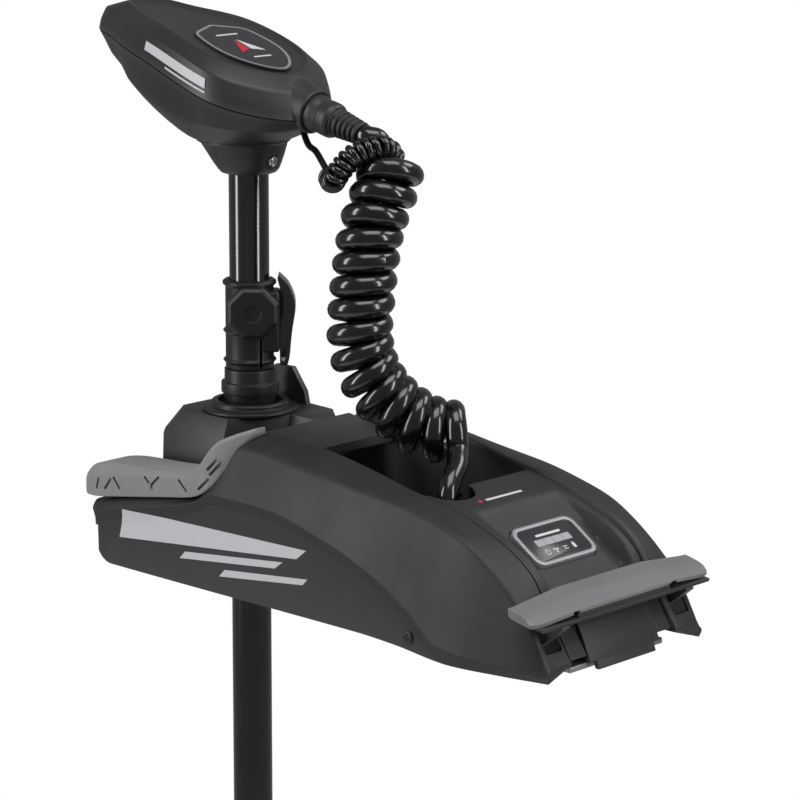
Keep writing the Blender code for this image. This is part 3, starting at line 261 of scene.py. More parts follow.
def skin(rings, closed=True, caps=(True, True)):
    """Verts and faces of a surface through rings of equal point count."""
    count = len(rings[0])
    verts = [p for ring in rings for p in ring]
    faces = []
    for k in range(len(rings) - 1):
        for i in range(count if closed else count - 1):
            j = (i + 1) % count
            faces.append((k * count + i, k * count + j, (k + 1) * count + j, (k + 1) * count + i))
    if caps[0]:
        faces.append(tuple(range(count))[::-1])
    if caps[1]:
        faces.append(tuple(range((len(rings) - 1) * count, len(rings) * count)))
    return verts, faces


def fillet(points, radii, steps=4, closed=False):
    """Rounds the corners of a 2D line; radii is one number or one per corner."""
    pts = [np.array(p, float) for p in points]
    n = len(pts)
    if not hasattr(radii, "__len__"):
        radii = [radii] * n
    out = []
    for i, p in enumerate(pts):
        if not closed and i in (0, n - 1) or radii[i] <= 0:
            out.append(p)
            continue
        a, b = pts[i - 1] - p, pts[(i + 1) % n] - p
        la, lb = np.linalg.norm(a), np.linalg.norm(b)
        reach = min(radii[i], 0.45 * la, 0.45 * lb)
        p0, p1 = p + a / la * reach, p + b / lb * reach
        for t in np.linspace(0, 1, steps + 1):
            out.append((1 - t) ** 2 * p0 + 2 * t * (1 - t) * p + t * t * p1)
    return [tuple(p) for p in out]


def spin(name, profile, centre, axis, material, body, nodes=(), sides=64, radii=0.6, closed=True, sharp=35,
         frame_matrix=None, ride=True):
    """A turned piece from (radius, height) pairs in mm with rounded corners."""
    line = fillet(profile, radii, 3, closed)
    closed = closed and line[0][0] > 0.01
    basis = {"X": Matrix.Rotation(math.pi / 2, 4, "Y"), "Y": Matrix.Rotation(-math.pi / 2, 4, "X"),
             "Z": Matrix.Identity(4)}[axis]
    matrix = frame_matrix or (Matrix.Translation(at(*centre)) @ basis)
    rings = []
    for i in range(sides):
        c, s = math.cos(2 * math.pi * i / sides), math.sin(2 * math.pi * i / sides)
        rings.append([matrix @ Vector((r * c / 1000, r * s / 1000, h / 1000)) for r, h in line])
    rings.append(rings[0])
    verts, faces = skin(rings, closed=closed, caps=(False, False))
    return piece(name, verts, faces, material, body, nodes, sharp, ride)


def smooth_line(line):
    """A monotone cubic through (x, value) pairs, as a function."""
    xs, ys = (np.array(v, float) for v in zip(*line))
    slope = np.diff(ys) / np.diff(xs)
    tangent = np.zeros(len(xs))
    tangent[0], tangent[-1] = slope[0], slope[-1]
    for i in range(1, len(xs) - 1):
        if slope[i - 1] * slope[i] > 0:
            tangent[i] = 2 * slope[i - 1] * slope[i] / (slope[i - 1] + slope[i])

    def value(x):
        x = min(max(x, xs[0]), xs[-1])
        k = min(int(np.searchsorted(xs, x, "right")) - 1, len(xs) - 2)
        h = xs[k + 1] - xs[k]
        t = (x - xs[k]) / h
        return float((2 * t ** 3 - 3 * t ** 2 + 1) * ys[k] + (t ** 3 - 2 * t ** 2 + t) * h * tangent[k]
                     + (-2 * t ** 3 + 3 * t ** 2) * ys[k + 1] + (t ** 3 - t ** 2) * h * tangent[k + 1])
    return value


def prism(outline, low, high, place):
    """Verts and faces of a flat outline pushed between two limits; place maps (a, b, c) to a point."""
    rings = [[place(a, b, c) for a, b in outline] for c in (low, high)]
    return skin(rings)


def xz(a, b, c):
    return at(a, c, b)


def xy(a, b, c):
    return at(a, b, c)


def yz(a, b, c):
    return at(c, a, b)


def apply_modifiers(thing):
    graph = bpy.context.evaluated_depsgraph_get()
    mesh = bpy.data.meshes.new_from_object(thing.evaluated_get(graph))
    thing.modifiers.clear()
    old, thing.data = thing.data, mesh
    bpy.data.meshes.remove(old)
    return thing


def soften(thing, width, segments=2, angle=28):
    """Rounds the edges so they catch the light."""
    rounder = thing.modifiers.new("edge", "BEVEL")
    rounder.width, rounder.segments = width / 1000, segments
    rounder.limit_method, rounder.angle_limit = "ANGLE", math.radians(angle)
    rounder.use_clamp_overlap = True
    rounder.harden_normals = False
    bpy.context.view_layer.update()
    apply_modifiers(thing)
    thing.data.shade_smooth()
    thing.data.set_sharp_from_angle(angle=math.radians(50))
    return thing


def carve(thing, cutters, operation="DIFFERENCE"):
    """Cuts or joins loose verts-and-faces solids."""
    for index, (verts, faces) in enumerate(cutters):
        mesh = bpy.data.meshes.new("cutter")
        mesh.from_pydata([tuple(v) for v in verts], [], faces)
        bm = bmesh.new()
        bm.from_mesh(mesh)
        bmesh.ops.recalc_face_normals(bm, faces=bm.faces)
        bm.to_mesh(mesh)
        bm.free()
        cutter = bpy.data.objects.new(f"cutter_{index}", mesh)
        bpy.context.scene.collection.objects.link(cutter)
        boolean = thing.modifiers.new("cut", "BOOLEAN")
        boolean.operation, boolean.object, boolean.solver = operation, cutter, "EXACT"
    bpy.context.view_layer.update()
    used = [m.object for m in thing.modifiers if m.type == "BOOLEAN"]
    apply_modifiers(thing)
    for cutter in used:
        bpy.data.objects.remove(cutter, do_unlink=True)
    return thing


def box_solid(x, y, z):
    return prism([(x[0], y[0]), (x[1], y[0]), (x[1], y[1]), (x[0], y[1])], z[0], z[1], xy)


def refined(node_name, material, width=0.8, segments=2, body=None, angle=28):
    """A copy of a CAD node with rounded edges, standing for it."""
    source = NODES[node_name]
    mesh = source.data.copy()
    bm = bmesh.new()
    bm.from_mesh(mesh)
    bmesh.ops.remove_doubles(bm, verts=bm.verts, dist=0.00001)
    bmesh.ops.dissolve_limit(bm, angle_limit=math.radians(1.0), verts=bm.verts, edges=bm.edges)
    bm.to_mesh(mesh)
    bm.free()
    thing = bpy.data.objects.new(node_name + "_finished", mesh)
    bpy.context.scene.collection.objects.link(thing)
    soften(thing, width, segments, angle)
    return finish_piece(thing, material, body or source["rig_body"], [node_name], 50)


def rounded_rectangle(half_x, half_y, radius, steps=8):
    points = []
    for cx, cy, start in ((half_x, half_y, 0), (-half_x, half_y, 90), (-half_x, -half_y, 180),
                          (half_x, -half_y, 270)):
        for i in range(steps + 1):
            angle = math.radians(start + 90 * i / steps)
            points.append((cx - math.copysign(radius, cx) + radius * math.cos(angle),
                           cy - math.copysign(radius, cy) + radius * math.sin(angle)))
    return points


# ---------------------------------------------------------------- cords
START_ROUTE = [(120, 0, 339.7), (123, 0.4, 338.9), (128.5, 6, 335.5), (131, 15, 331)]
COIL_ROUTE = [(142.5, 0.8, 311), (142.8, -3.4, 303), (141.5, -15, 279), (141.2, -21.4, 253),
              (141, -25.4, 226),
              (141, -27.4, 201), (144.7, -25, 179), (153.3, -17.4, 159), (165.7, -7.4, 144),
              (179, 3.6, 134.2),
              (190.2, 12.8, 130.8), (195, 17.1, 130.1)]
LEAD_ROUTE = [(212.3, 10.9, 129.1), (216.5, 5.5, 120), (217.5, -8, 113), (222.5, -19.5, 106),
              (226, -26.5, 96),
              (227, -28, 84), (227, -28, 70), (227, -28, 58)]
SENSOR_LEAD_ROUTE = [(62, -1, 328.5), (66, -3, 328), (78.3, -8, 325), (91, -14, 318.5), (100.8, -18.5, 313)]
SENSOR_UPPER_ROUTE = [(102.3, -19.2, 312), (113.3, -27, 309), (122.3, -33, 313.6), (127.9, -30, 322),
                      (131.4, -25, 328), (135.7, -20, 331.5), (139.9, -13.5, 333.5), (142, -7.5, 334)]
SENSOR_LOWER_ROUTE = [(208, -5, 97), (210.5, -8.5, 88), (211.6, -12, 76), (211, -12, 59.5)]


def route_points(route, count):
    """Points in metres of a Catmull-Rom curve through a route in mm, evenly spread by length."""
    knots = [np.array(at(*p)) for p in route]
    knots = [2 * knots[0] - knots[1]] + knots + [2 * knots[-1] - knots[-2]]
    fine = []
    for p0, p1, p2, p3 in zip(knots, knots[1:], knots[2:], knots[3:]):
        for t in np.linspace(0, 1, 24, endpoint=False):
            fine.append(0.5 * (2 * p1 + (p2 - p0) * t + (2 * p0 - 5 * p1 + 4 * p2 - p3) * t ** 2
                               + (3 * p1 - p0 - 3 * p2 + p3) * t ** 3))
    fine.append(knots[-2])
    fine = np.array(fine)
    walked = np.concatenate([[0], np.cumsum(np.linalg.norm(np.diff(fine, axis=0), axis=1))])
    marks = np.linspace(0, walked[-1], count)
    return np.array([[np.interp(m, walked, fine[:, k]) for k in range(3)] for m in marks])


def side_frames(points):
    """Two directions square to a line at each of its points, carried along without twisting."""
    tangents = np.gradient(points, axis=0)
    tangents /= np.linalg.norm(tangents, axis=1)[:, None]
    first = np.cross(tangents[0], (0.0, 1.0, 0.0))
    first /= np.linalg.norm(first)
    sides = [first]
    for t in tangents[1:]:
        v = sides[-1] - t * np.dot(sides[-1], t)
        sides.append(v / np.linalg.norm(v))
    sides = np.array(sides)
    return sides, np.cross(tangents, sides)


def coil_points(route, turns, radius, per_turn=18, ease=0.5, start_angle=0.0, ends=(True, True)):
    """The line of a helix wound round a route; its ends come in to the route's own line."""
    count = int(turns * per_turn) + 1
    centre = route_points(route, count)
    u, v = side_frames(centre)
    s = np.linspace(0, turns, count)
    swell = np.ones(count)
    if ends[0]:
        swell = np.minimum(swell, np.clip(s / ease, 0, 1))
    if ends[1]:
        swell = np.minimum(swell, np.clip((turns - s) / ease, 0, 1))
    swell = swell * swell * (3 - 2 * swell)
    angle = start_angle + 2 * math.pi * s
    r = radius / 1000 * swell
    return centre + u * (r * np.cos(angle))[:, None] + v * (r * np.sin(angle))[:, None]


def wound_between(route, turns, radius, first, last):
    """A helix round a route: the whole turns given, then the part turn from the first side to the last."""
    centre = route_points(route, 200)
    u, v = side_frames(centre)
    start, stop = (math.atan2(np.dot(v[i], side), np.dot(u[i], side)) for i, side in ((0, first), (-1, last)))
    whole = math.floor(turns) + ((stop - start) / (2 * math.pi)) % 1.0
    return coil_points(route, whole, radius, per_turn=20, start_angle=start, ends=(False, False))


def tube_piece(name, points, radius, sides=16, frames=None):
    u, v = frames or side_frames(points)
    rings = []
    for p, a, b in zip(points, u, v):
        rings.append([Vector(p + (a * math.cos(t) + b * math.sin(t)) * radius / 1000)
                      for t in np.linspace(0, 2 * math.pi, sides, endpoint=False)])
    verts, faces = skin(rings)
    return piece(name, verts, faces, CORD, None, ride=False, sharp=60)


def chained_cord(name, points, radius, cuts, nodes):
    """A cord in three stretches that share their side directions and ride on no body."""
    marks = [0, *[int(len(points) * c) for c in cuts], len(points) - 1]
    u, v = side_frames(points)
    for index, (low, high) in enumerate(zip(marks, marks[1:])):
        part = points[low:high + 1]
        made = tube_piece(f"{name}_{index + 1}", part, radius, frames=(u[low:high + 1], v[low:high + 1]))
        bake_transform(made)
        if index == 0:
            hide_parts(*nodes)


def plain_cord(name, points, radius, body, nodes):
    made = tube_piece(name, points, radius)
    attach(made, body)
    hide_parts(*nodes)


def cords():
    coil = wound_between([(141.5, 6.2, 320.7)] + COIL_ROUTE, COIL_TURNS, COIL_HELIX_RADIUS, -OUTWARD, OUTWARD)
    offset = np.array([MAST_X, 0, 0])
    first, last = (coil[i] * 1000 - offset for i in (0, -1))
    into = (coil[1] - coil[0]) / np.linalg.norm(coil[1] - coil[0])
    out = (coil[-1] - coil[-2]) / np.linalg.norm(coil[-1] - coil[-2])
    start = route_points(START_ROUTE[:-1] + [tuple(first - 8 * into), tuple(first)], 26)
    chained_cord("main_coil", np.concatenate([start[:-1], coil]), COIL_WIRE_RADIUS, (0.36, 0.66),
                 ["main_cord_start", "main_cord_coil"])
    lead = route_points([tuple(last - 3 * out), tuple(last), tuple(last + 8 * out)] + LEAD_ROUTE[2:]
                        + [(227, -28, 51)], 46)
    plain_cord("main_lead", lead, LEAD_RADIUS, "base", ["main_cord_lead"])
    plain_cord("sensor_lead", route_points([(55, 0, 343), (59, -0.5, 335)] + SENSOR_LEAD_ROUTE[1:], 30), 2.4,
               "column",
               ["sensor_cord_lead"])
    upper = coil_points(SENSOR_UPPER_ROUTE + [(142.8, 1.5, 330), (142.5, 6.5, 323)], 17.0, 6.6, per_turn=16,
                        ease=0.6)
    plain_cord("sensor_coil_upper", upper, THIN_WIRE_RADIUS, "column",
               ["sensor_cord_upper"])
    lower = coil_points(SENSOR_LOWER_ROUTE, 6.0, 7.3, per_turn=16, ease=0.6)
    plain_cord("sensor_coil_lower", lower, THIN_WIRE_RADIUS, "base", ["sensor_cord_lower"])


cords()

# ---------------------------------------------------------------- shared shapes
def rounded_loft(rings, radii, steps=4):
    """Rings with the corners between neighbouring ones rounded; radii in mm, one per ring, 0 keeps it."""
    rings = [np.array([tuple(p) for p in ring]) for ring in rings]
    out = []
    for k, ring in enumerate(rings):
        if k in (0, len(rings) - 1) or radii[k] <= 0:
            out.append(ring)
            continue
        a, b = rings[k - 1] - ring, rings[k + 1] - ring
        la, lb = np.linalg.norm(a, axis=1), np.linalg.norm(b, axis=1)
        reach = np.minimum(radii[k] / 1000, 0.45 * np.minimum(la, lb))
        p0, p1 = ring + a * (reach / la)[:, None], ring + b * (reach / lb)[:, None]
        for t in np.linspace(0, 1, steps + 1):
            out.append((1 - t) ** 2 * p0 + 2 * t * (1 - t) * ring + t * t * p1)
    return out


def curve_through(points, steps=6, closed=False):
    """A 2D Catmull-Rom line through points."""
    pts = [np.array(p, float) for p in points]
    ring = [pts[-1]] + pts + pts[:2] if closed else [2 * pts[0] - pts[1]] + pts + [2 * pts[-1] - pts[-2]]
    out = []
    for p0, p1, p2, p3 in zip(ring, ring[1:], ring[2:], ring[3:]):
        for t in np.linspace(0, 1, steps, endpoint=False):
            out.append(tuple(0.5 * (2 * p1 + (p2 - p0) * t + (2 * p0 - 5 * p1 + 4 * p2 - p3) * t ** 2
                                    + (3 * p1 - p0 - 3 * p2 + p3) * t ** 3)))
    if not closed:
        out.append(tuple(pts[-1]))
    return out


def walled(thing, wall):
    """Gives an open skin a wall, inward."""
    shell = thing.modifiers.new("wall", "SOLIDIFY")
    shell.thickness, shell.offset, shell.use_even_offset = wall / 1000, -1.0, True
    shell.thickness_clamp = 0.0
    bpy.context.view_layer.update()
    return apply_modifiers(thing)


def rod_solid(radius, low, high, matrix, sides=32, top=None):
    """Verts and faces of a round bar between two heights of a frame, for cutting."""
    rings = []
    for r, h in ((radius, low), (radius if top is None else top, high)):
        rings.append([matrix @ Vector((r * math.cos(2 * math.pi * i / sides) / 1000,
                                       r * math.sin(2 * math.pi * i / sides) / 1000,
                                       h / 1000)) for i in range(sides)])
    return skin(rings)


def axis_frame(centre, axis):
    turn = {"X": Matrix.Rotation(math.pi / 2, 4, "Y"), "-X": Matrix.Rotation(-math.pi / 2, 4, "Y"),
            "Y": Matrix.Rotation(-math.pi / 2, 4, "X"), "-Y": Matrix.Rotation(math.pi / 2, 4, "X"),
            "Z": Matrix.Identity(4)}[axis]
    return Matrix.Translation(at(*centre)) @ turn


def phillips_screw(name, centre, axis, radius, head, body, nodes=(), material=None):
    """A domed head with a cross recess, and its plain shank."""
    matrix = axis_frame(centre, axis)
    dome = [(0, head), (radius * 0.45, head * 0.94), (radius * 0.8, head * 0.68), (radius, head * 0.25),
            (radius, 0),
            (radius * 0.42, 0), (radius * 0.42, -5.5), (0, -5.5)]
    screw = spin(name, dome, None, "Z", material or STEEL, body, nodes, 32, 0.3, frame_matrix=matrix)
    blades = []
    for a, b in ((radius * 0.62, radius * 0.16), (radius * 0.16, radius * 0.62)):
        ring = [(-a, -b), (a, -b), (a, b), (-a, b)]
        blades.append(skin([[matrix @ Vector((x / 1000, y / 1000, h / 1000)) for x, y in ring]
                            for h in (head * 0.35, head + 1)]))
    screw.parent = None
    carve(screw, blades)
    return finish_piece(screw, material or STEEL, body, (), 40)


# ---------------------------------------------------------------- base covers
RIM_LINE = [(-82, 51), (-60, 58), (10, 70), (38, 75), (50, 92), (62, 114), (76, 124), (129, 122),
            (176, 115), (218, 106), (257, 99), (295, 86), (316, 75.5), (332, 63), (340, 51), (353, 31),
            (366, 11)]
CREASE_LINE = [(-82, 50), (-60, 57), (10, 70), (38, 74), (50, 89), (62, 109), (74, 117), (134, 111),
               (180, 106), (225, 101), (258, 94), (286, 86), (306, 75), (332, 55), (348, 39), (366, 8)]
STEP_LINE = [(-82, 44), (38, 72), (57, 81), (111, 80), (169, 68), (215, 52), (250, 33), (280, 12), (366, 4)]
BOTTOM_LINE = [(-82, 30), (-77, 17), (-68, 10), (-58, 7), (200, 6), (235, 4.5), (288, 0), (366, 0)]
SIDE_LINE = [(-82, 82), (-74, 91), (-58, 94), (230, 95), (288, 95), (329, 89), (366, 81)]
RIM_Y, CREASE_Y = 56.0, 80.0
rim_at, crease_at, step_at, bottom_at, side_at = (smooth_line(v) for v in (
    RIM_LINE, CREASE_LINE, STEP_LINE, BOTTOM_LINE, SIDE_LINE))


def cover_profile(x):
    """The cover's outline at a station, as (y, z), from the skirt's foot up and over to the inner wall."""
    rim, crease, step = rim_at(x), crease_at(x), step_at(x)
    bottom, skirt = bottom_at(x), side_at(x)
    step = min(max(step, bottom + 3), crease - 2)
    low = max(step - 8, bottom + 1.5)
    narrow = min(1.0, max(0.0, (x - 38) / 36))
    shoulder = (skirt - 2) * (1 - narrow) + min(CREASE_Y, skirt - 2) * narrow
    strip = ((shoulder + RIM_Y) / 2, crease * 0.35 + rim * 0.65)
    line = [(skirt - 1.5, bottom), (skirt - 1, low), (skirt + 1.5, step), (shoulder, crease), strip,
            (RIM_Y, rim),
            (RIM_Y, min(39.5 if x < 151 else 8.5, rim - 2.5))]
    return fillet(line, [0, 0.9, 0.8, 4.0, 6.0, 2.0, 0], 4)


def side_y(x, z):
    """How far out the cover's side stands at a place."""
    line = cover_profile(x)[:11]
    return float(np.interp(z, [p[1] for p in line], [p[0] for p in line]))


def side_cover(name, side):
    stations = sorted(set(list(np.arange(-86, 366, 4.0)) + [-87, -83, -80, -74, -62, 38, 62, 150, 155, 340,
                                                            353, 366]))
    rings = [[at(x, side * y, z) for y, z in cover_profile(x)] for x in stations]
    verts, faces = skin(rings, closed=False, caps=(True, True))
    cover = piece(name + "_cover_shell", verts, faces, COVER, None, ride=False)
    if side > 0:
        cover.data.flip_normals()
    walled(cover, 2.5)
    slot = fillet([(59, 18.5), (76, 18.5), (76, 36), (72, 40), (59, 40)], 2, 3, True)
    hole = rod_solid(8.6, -6, 6, axis_frame((334, side * 57, 21), "Y"))
    carve(cover, [prism([(side * a, b) for a, b in slot], 318, 392, yz), hole])
    return finish_piece(cover, COVER, "base", [name + "_side_cover"], sharp=30)


def side_marking(name, side, outline, lift=0.28, material=None, cells=(24, 3)):
    """A thin pale printed bar that lies on the cover's side; outline is its corners as (x, z)."""
    (x0, z0), (x1, z1), (x2, z2), (x3, z3) = outline
    layers = []
    for height in (0.06, lift):
        layer = []
        for j in range(cells[1] + 1):
            for i in range(cells[0] + 1):
                u, v = i / cells[0], j / cells[1]
                x = (x0 * (1 - u) + x1 * u) * (1 - v) + (x3 * (1 - u) + x2 * u) * v
                z = (z0 * (1 - u) + z1 * u) * (1 - v) + (z3 * (1 - u) + z2 * u) * v
                layer.append(at(x, side * (side_y(x, z) + height), z))
        layers.append(layer)
    return closed_sheet(name, layers, cells, material or PRINT, "base")


def closed_sheet(name, layers, cells, material, body, nodes=(), sharp=35):
    """A closed thin slab from two grids of points."""
    columns, rows = cells[0] + 1, cells[1] + 1
    total = columns * rows
    faces = []
    for layer in (0, 1):
        for j in range(rows - 1):
            for i in range(columns - 1):
                a = layer * total + j * columns + i
                quad = (a, a + 1, a + columns + 1, a + columns)
                faces.append(quad if layer else quad[::-1])
    rim = [i for i in range(columns)] + [j * columns + columns - 1 for j in range(1, rows)]
    rim += [(rows - 1) * columns + i for i in range(columns - 2, -1,
                                                    -1)] + [j * columns for j in range(rows - 2, 0, -1)]
    for a, b in zip(rim, rim[1:] + rim[:1]):
        faces.append((a, b, b + total, a + total))
    return piece(name, layers[0] + layers[1], faces, material, body, nodes, sharp)


REST_FOOT = smooth_line([(-90, 58), (-84, 57), (-74, 57.5), (-50, 61), (-10, 67.5), (14, 71.5), (30, 74.0),
                         (43, 77.8),
                         (57, 88), (65.7, 103), (70, 114), (76, 124)])
REST_EDGE = smooth_line([(-90, 63), (-84, 71), (-74, 75.5), (-50, 79), (-10, 84.5), (14, 88), (30, 91),
                         (44, 99.5),
                         (51, 109), (57.6, 117), (66, 122.5), (76, 127)])
REST_TOP = smooth_line([(-90, 64), (-84, 75), (-74, 82), (-50, 86), (-10, 88), (14, 90), (30, 93),
                        (44, 102.5),
                        (51, 112), (57.6, 119.5), (66, 124.5), (76, 129)])
REST_OUT = smooth_line([(-90, 87), (-80, 94), (-60, 97), (30, 97.2), (43, 97), (57, 94), (66, 86), (76, 72)])
GROOVES = [[(-64.5, 73.5), (-67.5, 64)], [(-50.5, 75), (-58, 65.5)], [(-48, 77), (-40.5, 68.5)],
           [(-13.5, 83), (-8, 78.5)], [(3, 85.5), (-6.5, 77)], [(-6.5, 77), (-4.5, 74.5)],
           [(23.5, 87), (32.4, 79)],
           [(44, 82.5), (54, 92)], [(52, 98), (60, 107)], [(54, 94.5), (66, 109)]]


def rest_ring(x, side, shrink=1.0):
    outer, foot, edge, top = REST_OUT(x), REST_FOOT(x), REST_EDGE(x), REST_TOP(x)
    edge = min(edge, top - 1.2)
    line = fillet([(outer, foot), (outer, edge), (outer - 4.5, top), (58, top), (58, foot)],
                  [1.8, 2.4, 3.5, 2.0, 1.0], 3,
                  True)
    middle = np.mean(line, axis=0)
    return [at(x, side * (middle[0] + (y - middle[0]) * shrink), middle[1] + (z - middle[1]) * shrink) for y,
            z in line]


def motor_rest(name, side):
    """Soft pad on a fork arm, with a raised strip up the cover's shoulder and a pressed truss in its side."""
    rings = [rest_ring(-90, side, 0.72), rest_ring(-89.4, side, 0.88)]
    rings += [rest_ring(x, side) for x in np.arange(-88, 74.5, 3.0)]
    rings += [rest_ring(75.4, side, 0.94), rest_ring(76, side, 0.8)]
    verts, faces = skin(rings)
    pad = piece(name + "_rest_pad", verts, faces, REST, None, ride=False)
    cutters = []
    for (xa, za), (xb, zb) in GROOVES:
        along = np.array([xb - xa, zb - za]) / math.hypot(xb - xa, zb - za)
        across = np.array([-along[1], along[0]]) * 1.1
        mid = (xa + xb) / 2
        corners = [(xa + across[0], za + across[1]), (xa - across[0], za - across[1]),
                   (xb - across[0], zb - across[1]),
                   (xb + across[0], zb + across[1])]
        surface_y = REST_OUT(mid)
        cutters.append(prism(fillet(corners, 0.9, 2, True), side * (surface_y - 2.4), side * (surface_y + 8),
                             xz))
    carve(pad, cutters)
    return finish_piece(pad, REST, "base", [name + "_motor_rest"], 32)


for label, sign in (("near", -1), ("far", 1)):
    side_cover(label, sign)
    motor_rest(label, sign)
    side_marking(label + "_bar_long", sign, [(-46, 30), (142, 48), (152, 56), (-40, 53)], cells=(40, 4))
    side_marking(label + "_bar_mid", sign, [(20, 26), (120, 37), (128, 43), (26, 32)])
    side_marking(label + "_bar_low", sign, [(62, 20), (148, 30), (153, 35), (68, 26)])


# ---------------------------------------------------------------- dash
def ease(t):
    t = min(1.0, max(0.0, t))
    return t * t * (3 - 2 * t)


def dash_height(x, y):
    rim = rim_at(x) - 1.0
    chord = 95.5 - (x - 265) * 0.675
    depth = max(0.0, rim - chord)
    inside = ease((47.5 - abs(y)) / 6.5) * ease((x - 262) / 9) * ease((339 - x) / 3)
    return rim - inside * depth


def dash():
    columns = [-55, -53, -51, -49, -47.5, -46, -44.5, -43, -41, -38.6, -30, -20, -10, 0, 10, 20, 30, 38.6,
               41, 43, 44.5, 46,
               47.5, 49, 51, 53, 55]
    rows = [231, 233, 236] + list(np.arange(240, 341, 2.5)) + [341] + list(np.arange(344, 366, 3.0)) + [365]
    verts = [at(x, y, dash_height(x, y)) for x in rows for y in columns]
    wide = len(columns)
    faces = []
    for i, x in enumerate(rows[:-1]):
        for j in range(wide - 1):
            if abs(columns[j] + columns[j + 1]) / 2 < 38.6 and x >= 341:
                continue
            faces.append((i * wide + j, (i + 1) * wide + j, (i + 1) * wide + j + 1, i * wide + j + 1))
    first = len(verts)
    verts += [at(231, y, 78) for y in columns]
    faces += [(first + j, j, j + 1, first + j + 1) for j in range(wide - 1)]
    used = sorted({v for f in faces for v in f})
    place = {v: k for k, v in enumerate(used)}
    cover = piece("dash_shell", [verts[v] for v in used], [tuple(place[v] for v in f) for f in faces], COVER,
                  None,
                  ride=False)
    top = max(cover.data.polygons, key=lambda f: f.center.z)
    if top.normal.z < 0:
        cover.data.flip_normals()
    walled(cover, 2.4)
    notch = rod_solid(21, 0, 60, axis_frame((229, -32, 60), "Z"), 64)
    window = skin([[display_frame() @ Vector((a / 1000, b / 1000, h / 1000)) for a,
                    b in rounded_rectangle(19, 33, 8)]
                   for h in (-12, 12)])
    carve(cover, [notch, window])
    soften(cover, 0.5, 2, 50)
    return finish_piece(cover, COVER, "base", ["dash_cover"], 38)


def display_frame():
    return Matrix.Translation(at(301, 0, 71.2)) @ Matrix.Rotation(math.radians(34), 4, "Y")


def on_display(rings_2d, heights, name, material, nodes=(), hollow=False, sharp=35):
    matrix = display_frame()
    rings = [[matrix @ Vector((a / 1000, b / 1000, h / 1000)) for a, b in ring] for ring,
             h in zip(rings_2d, heights)]
    if hollow:
        rings.append(rings[0])
    verts, faces = skin(rings, caps=(not hollow, not hollow))
    return piece(name, verts, faces, material, "base", nodes, sharp)


def rr(x, y, r):
    return rounded_rectangle(x, y, r, 8)


def display():
    on_display([rr(18.4, 32.4, 8), rr(18.4, 32.4, 8), rr(18.1, 32.1, 7.8), rr(17.5, 31.5, 7.4),
                rr(15.9, 29.9, 6.6),
                rr(15.2, 29.2, 6.2), rr(15, 29, 6), rr(15, 29, 6)],
                [-3.5, 2.0, 2.7, 3.0, 3.0, 2.8, 2.2, -3.5],
               "display_frame_ring", SILVER, ["display_bezel"], hollow=True)
    on_display([rr(14.7, 28.7, 5.7), rr(14.7, 28.7, 5.7), rr(14.3, 28.3, 5.5)], [-0.5, 1.9, 2.2],
               "display_window", LENS,
               ["display_lens"])
    for k in range(4):
        y = -13.8 + 9.2 * k
        ring = [(a - 1.2, b + y) for a, b in rounded_rectangle(3.0, 4.45, 0.5, 3)]
        on_display([ring, ring], [2.15, 2.35], f"level_segment_{k}", BAR_LIGHT)
    ring = [(a - 7.6, b) for a, b in rounded_rectangle(1.0, 13, 0.9, 3)]
    on_display([ring, ring], [2.15, 2.32], "display_caption_bar", PRINT)
    icons()


def flat_mark(name, outline, centre, material=None, scale=1.0):
    ring = [(centre[0] + a * scale, centre[1] + b * scale) for a, b in outline]
    return on_display([ring, ring], [2.15, 2.33], name, material or PRINT)


def arc_band(radius, width, start, stop, count=18):
    angles = np.radians(np.linspace(start, stop, count))
    outer = [(radius * math.cos(t), radius * math.sin(t)) for t in angles]
    inner = [((radius - width) * math.cos(t), (radius - width) * math.sin(t)) for t in angles[::-1]]
    return outer + inner


def icons():
    """Plain signs: power, turning blades, linked rings and a charge cell."""
    row = 7.8
    flat_mark("sign_power_ring", arc_band(2.5, 0.6, -150, 150), (row, -14))
    flat_mark("sign_power_bar", rounded_rectangle(1.2, 0.35, 0.2, 2), (row - 2.0, -14))
    for k in range(3):
        turn = math.radians(120 * k)
        blade = [(0.4, -0.3), (1.4, -1.0), (2.7, -0.7), (2.6, 0.5), (1.2, 0.6), (0.4, 0.3)]
        flat_mark(f"sign_blade_{k}", [(a * math.cos(turn) - b * math.sin(turn),
                                       a * math.sin(turn) + b * math.cos(turn))
                                      for a, b in blade], (row, -5))
    flat_mark("sign_link_a", arc_band(1.7, 0.5, -60, 240), (row, 3.6))
    flat_mark("sign_link_b", arc_band(1.7, 0.5, 120, 420), (row, 5.9))
    flat_mark("sign_cell", rounded_rectangle(2.2, 1.4, 0.3, 2), (row, 14))
    flat_mark("sign_cell_cap", rounded_rectangle(0.35, 0.6, 0.15, 2), (row - 2.8, 14))


def dash_mark(name, x, y, half_x, half_y, material):
    """A small printed bar on the dash ahead of the display."""
    cells = (6, 2)
    layers = []
    for lift in (0.05, 0.22):
        layer = []
        for j in range(cells[1] + 1):
            for i in range(cells[0] + 1):
                b = y - half_y + 2 * half_y * i / cells[0]
                a = x - half_x + 2 * half_x * j / cells[1]
                layer.append(at(a, b, dash_height(a, b) + lift))
        layers.append(layer)
    return closed_sheet(name, layers, cells, material, "base")


dash()
display()
dash_mark("dash_mark_dot", 257, -27, 1.5, 1.8, RED_PRINT)
dash_mark("dash_mark_bar", 257, -2, 1.1, 19, PRINT)


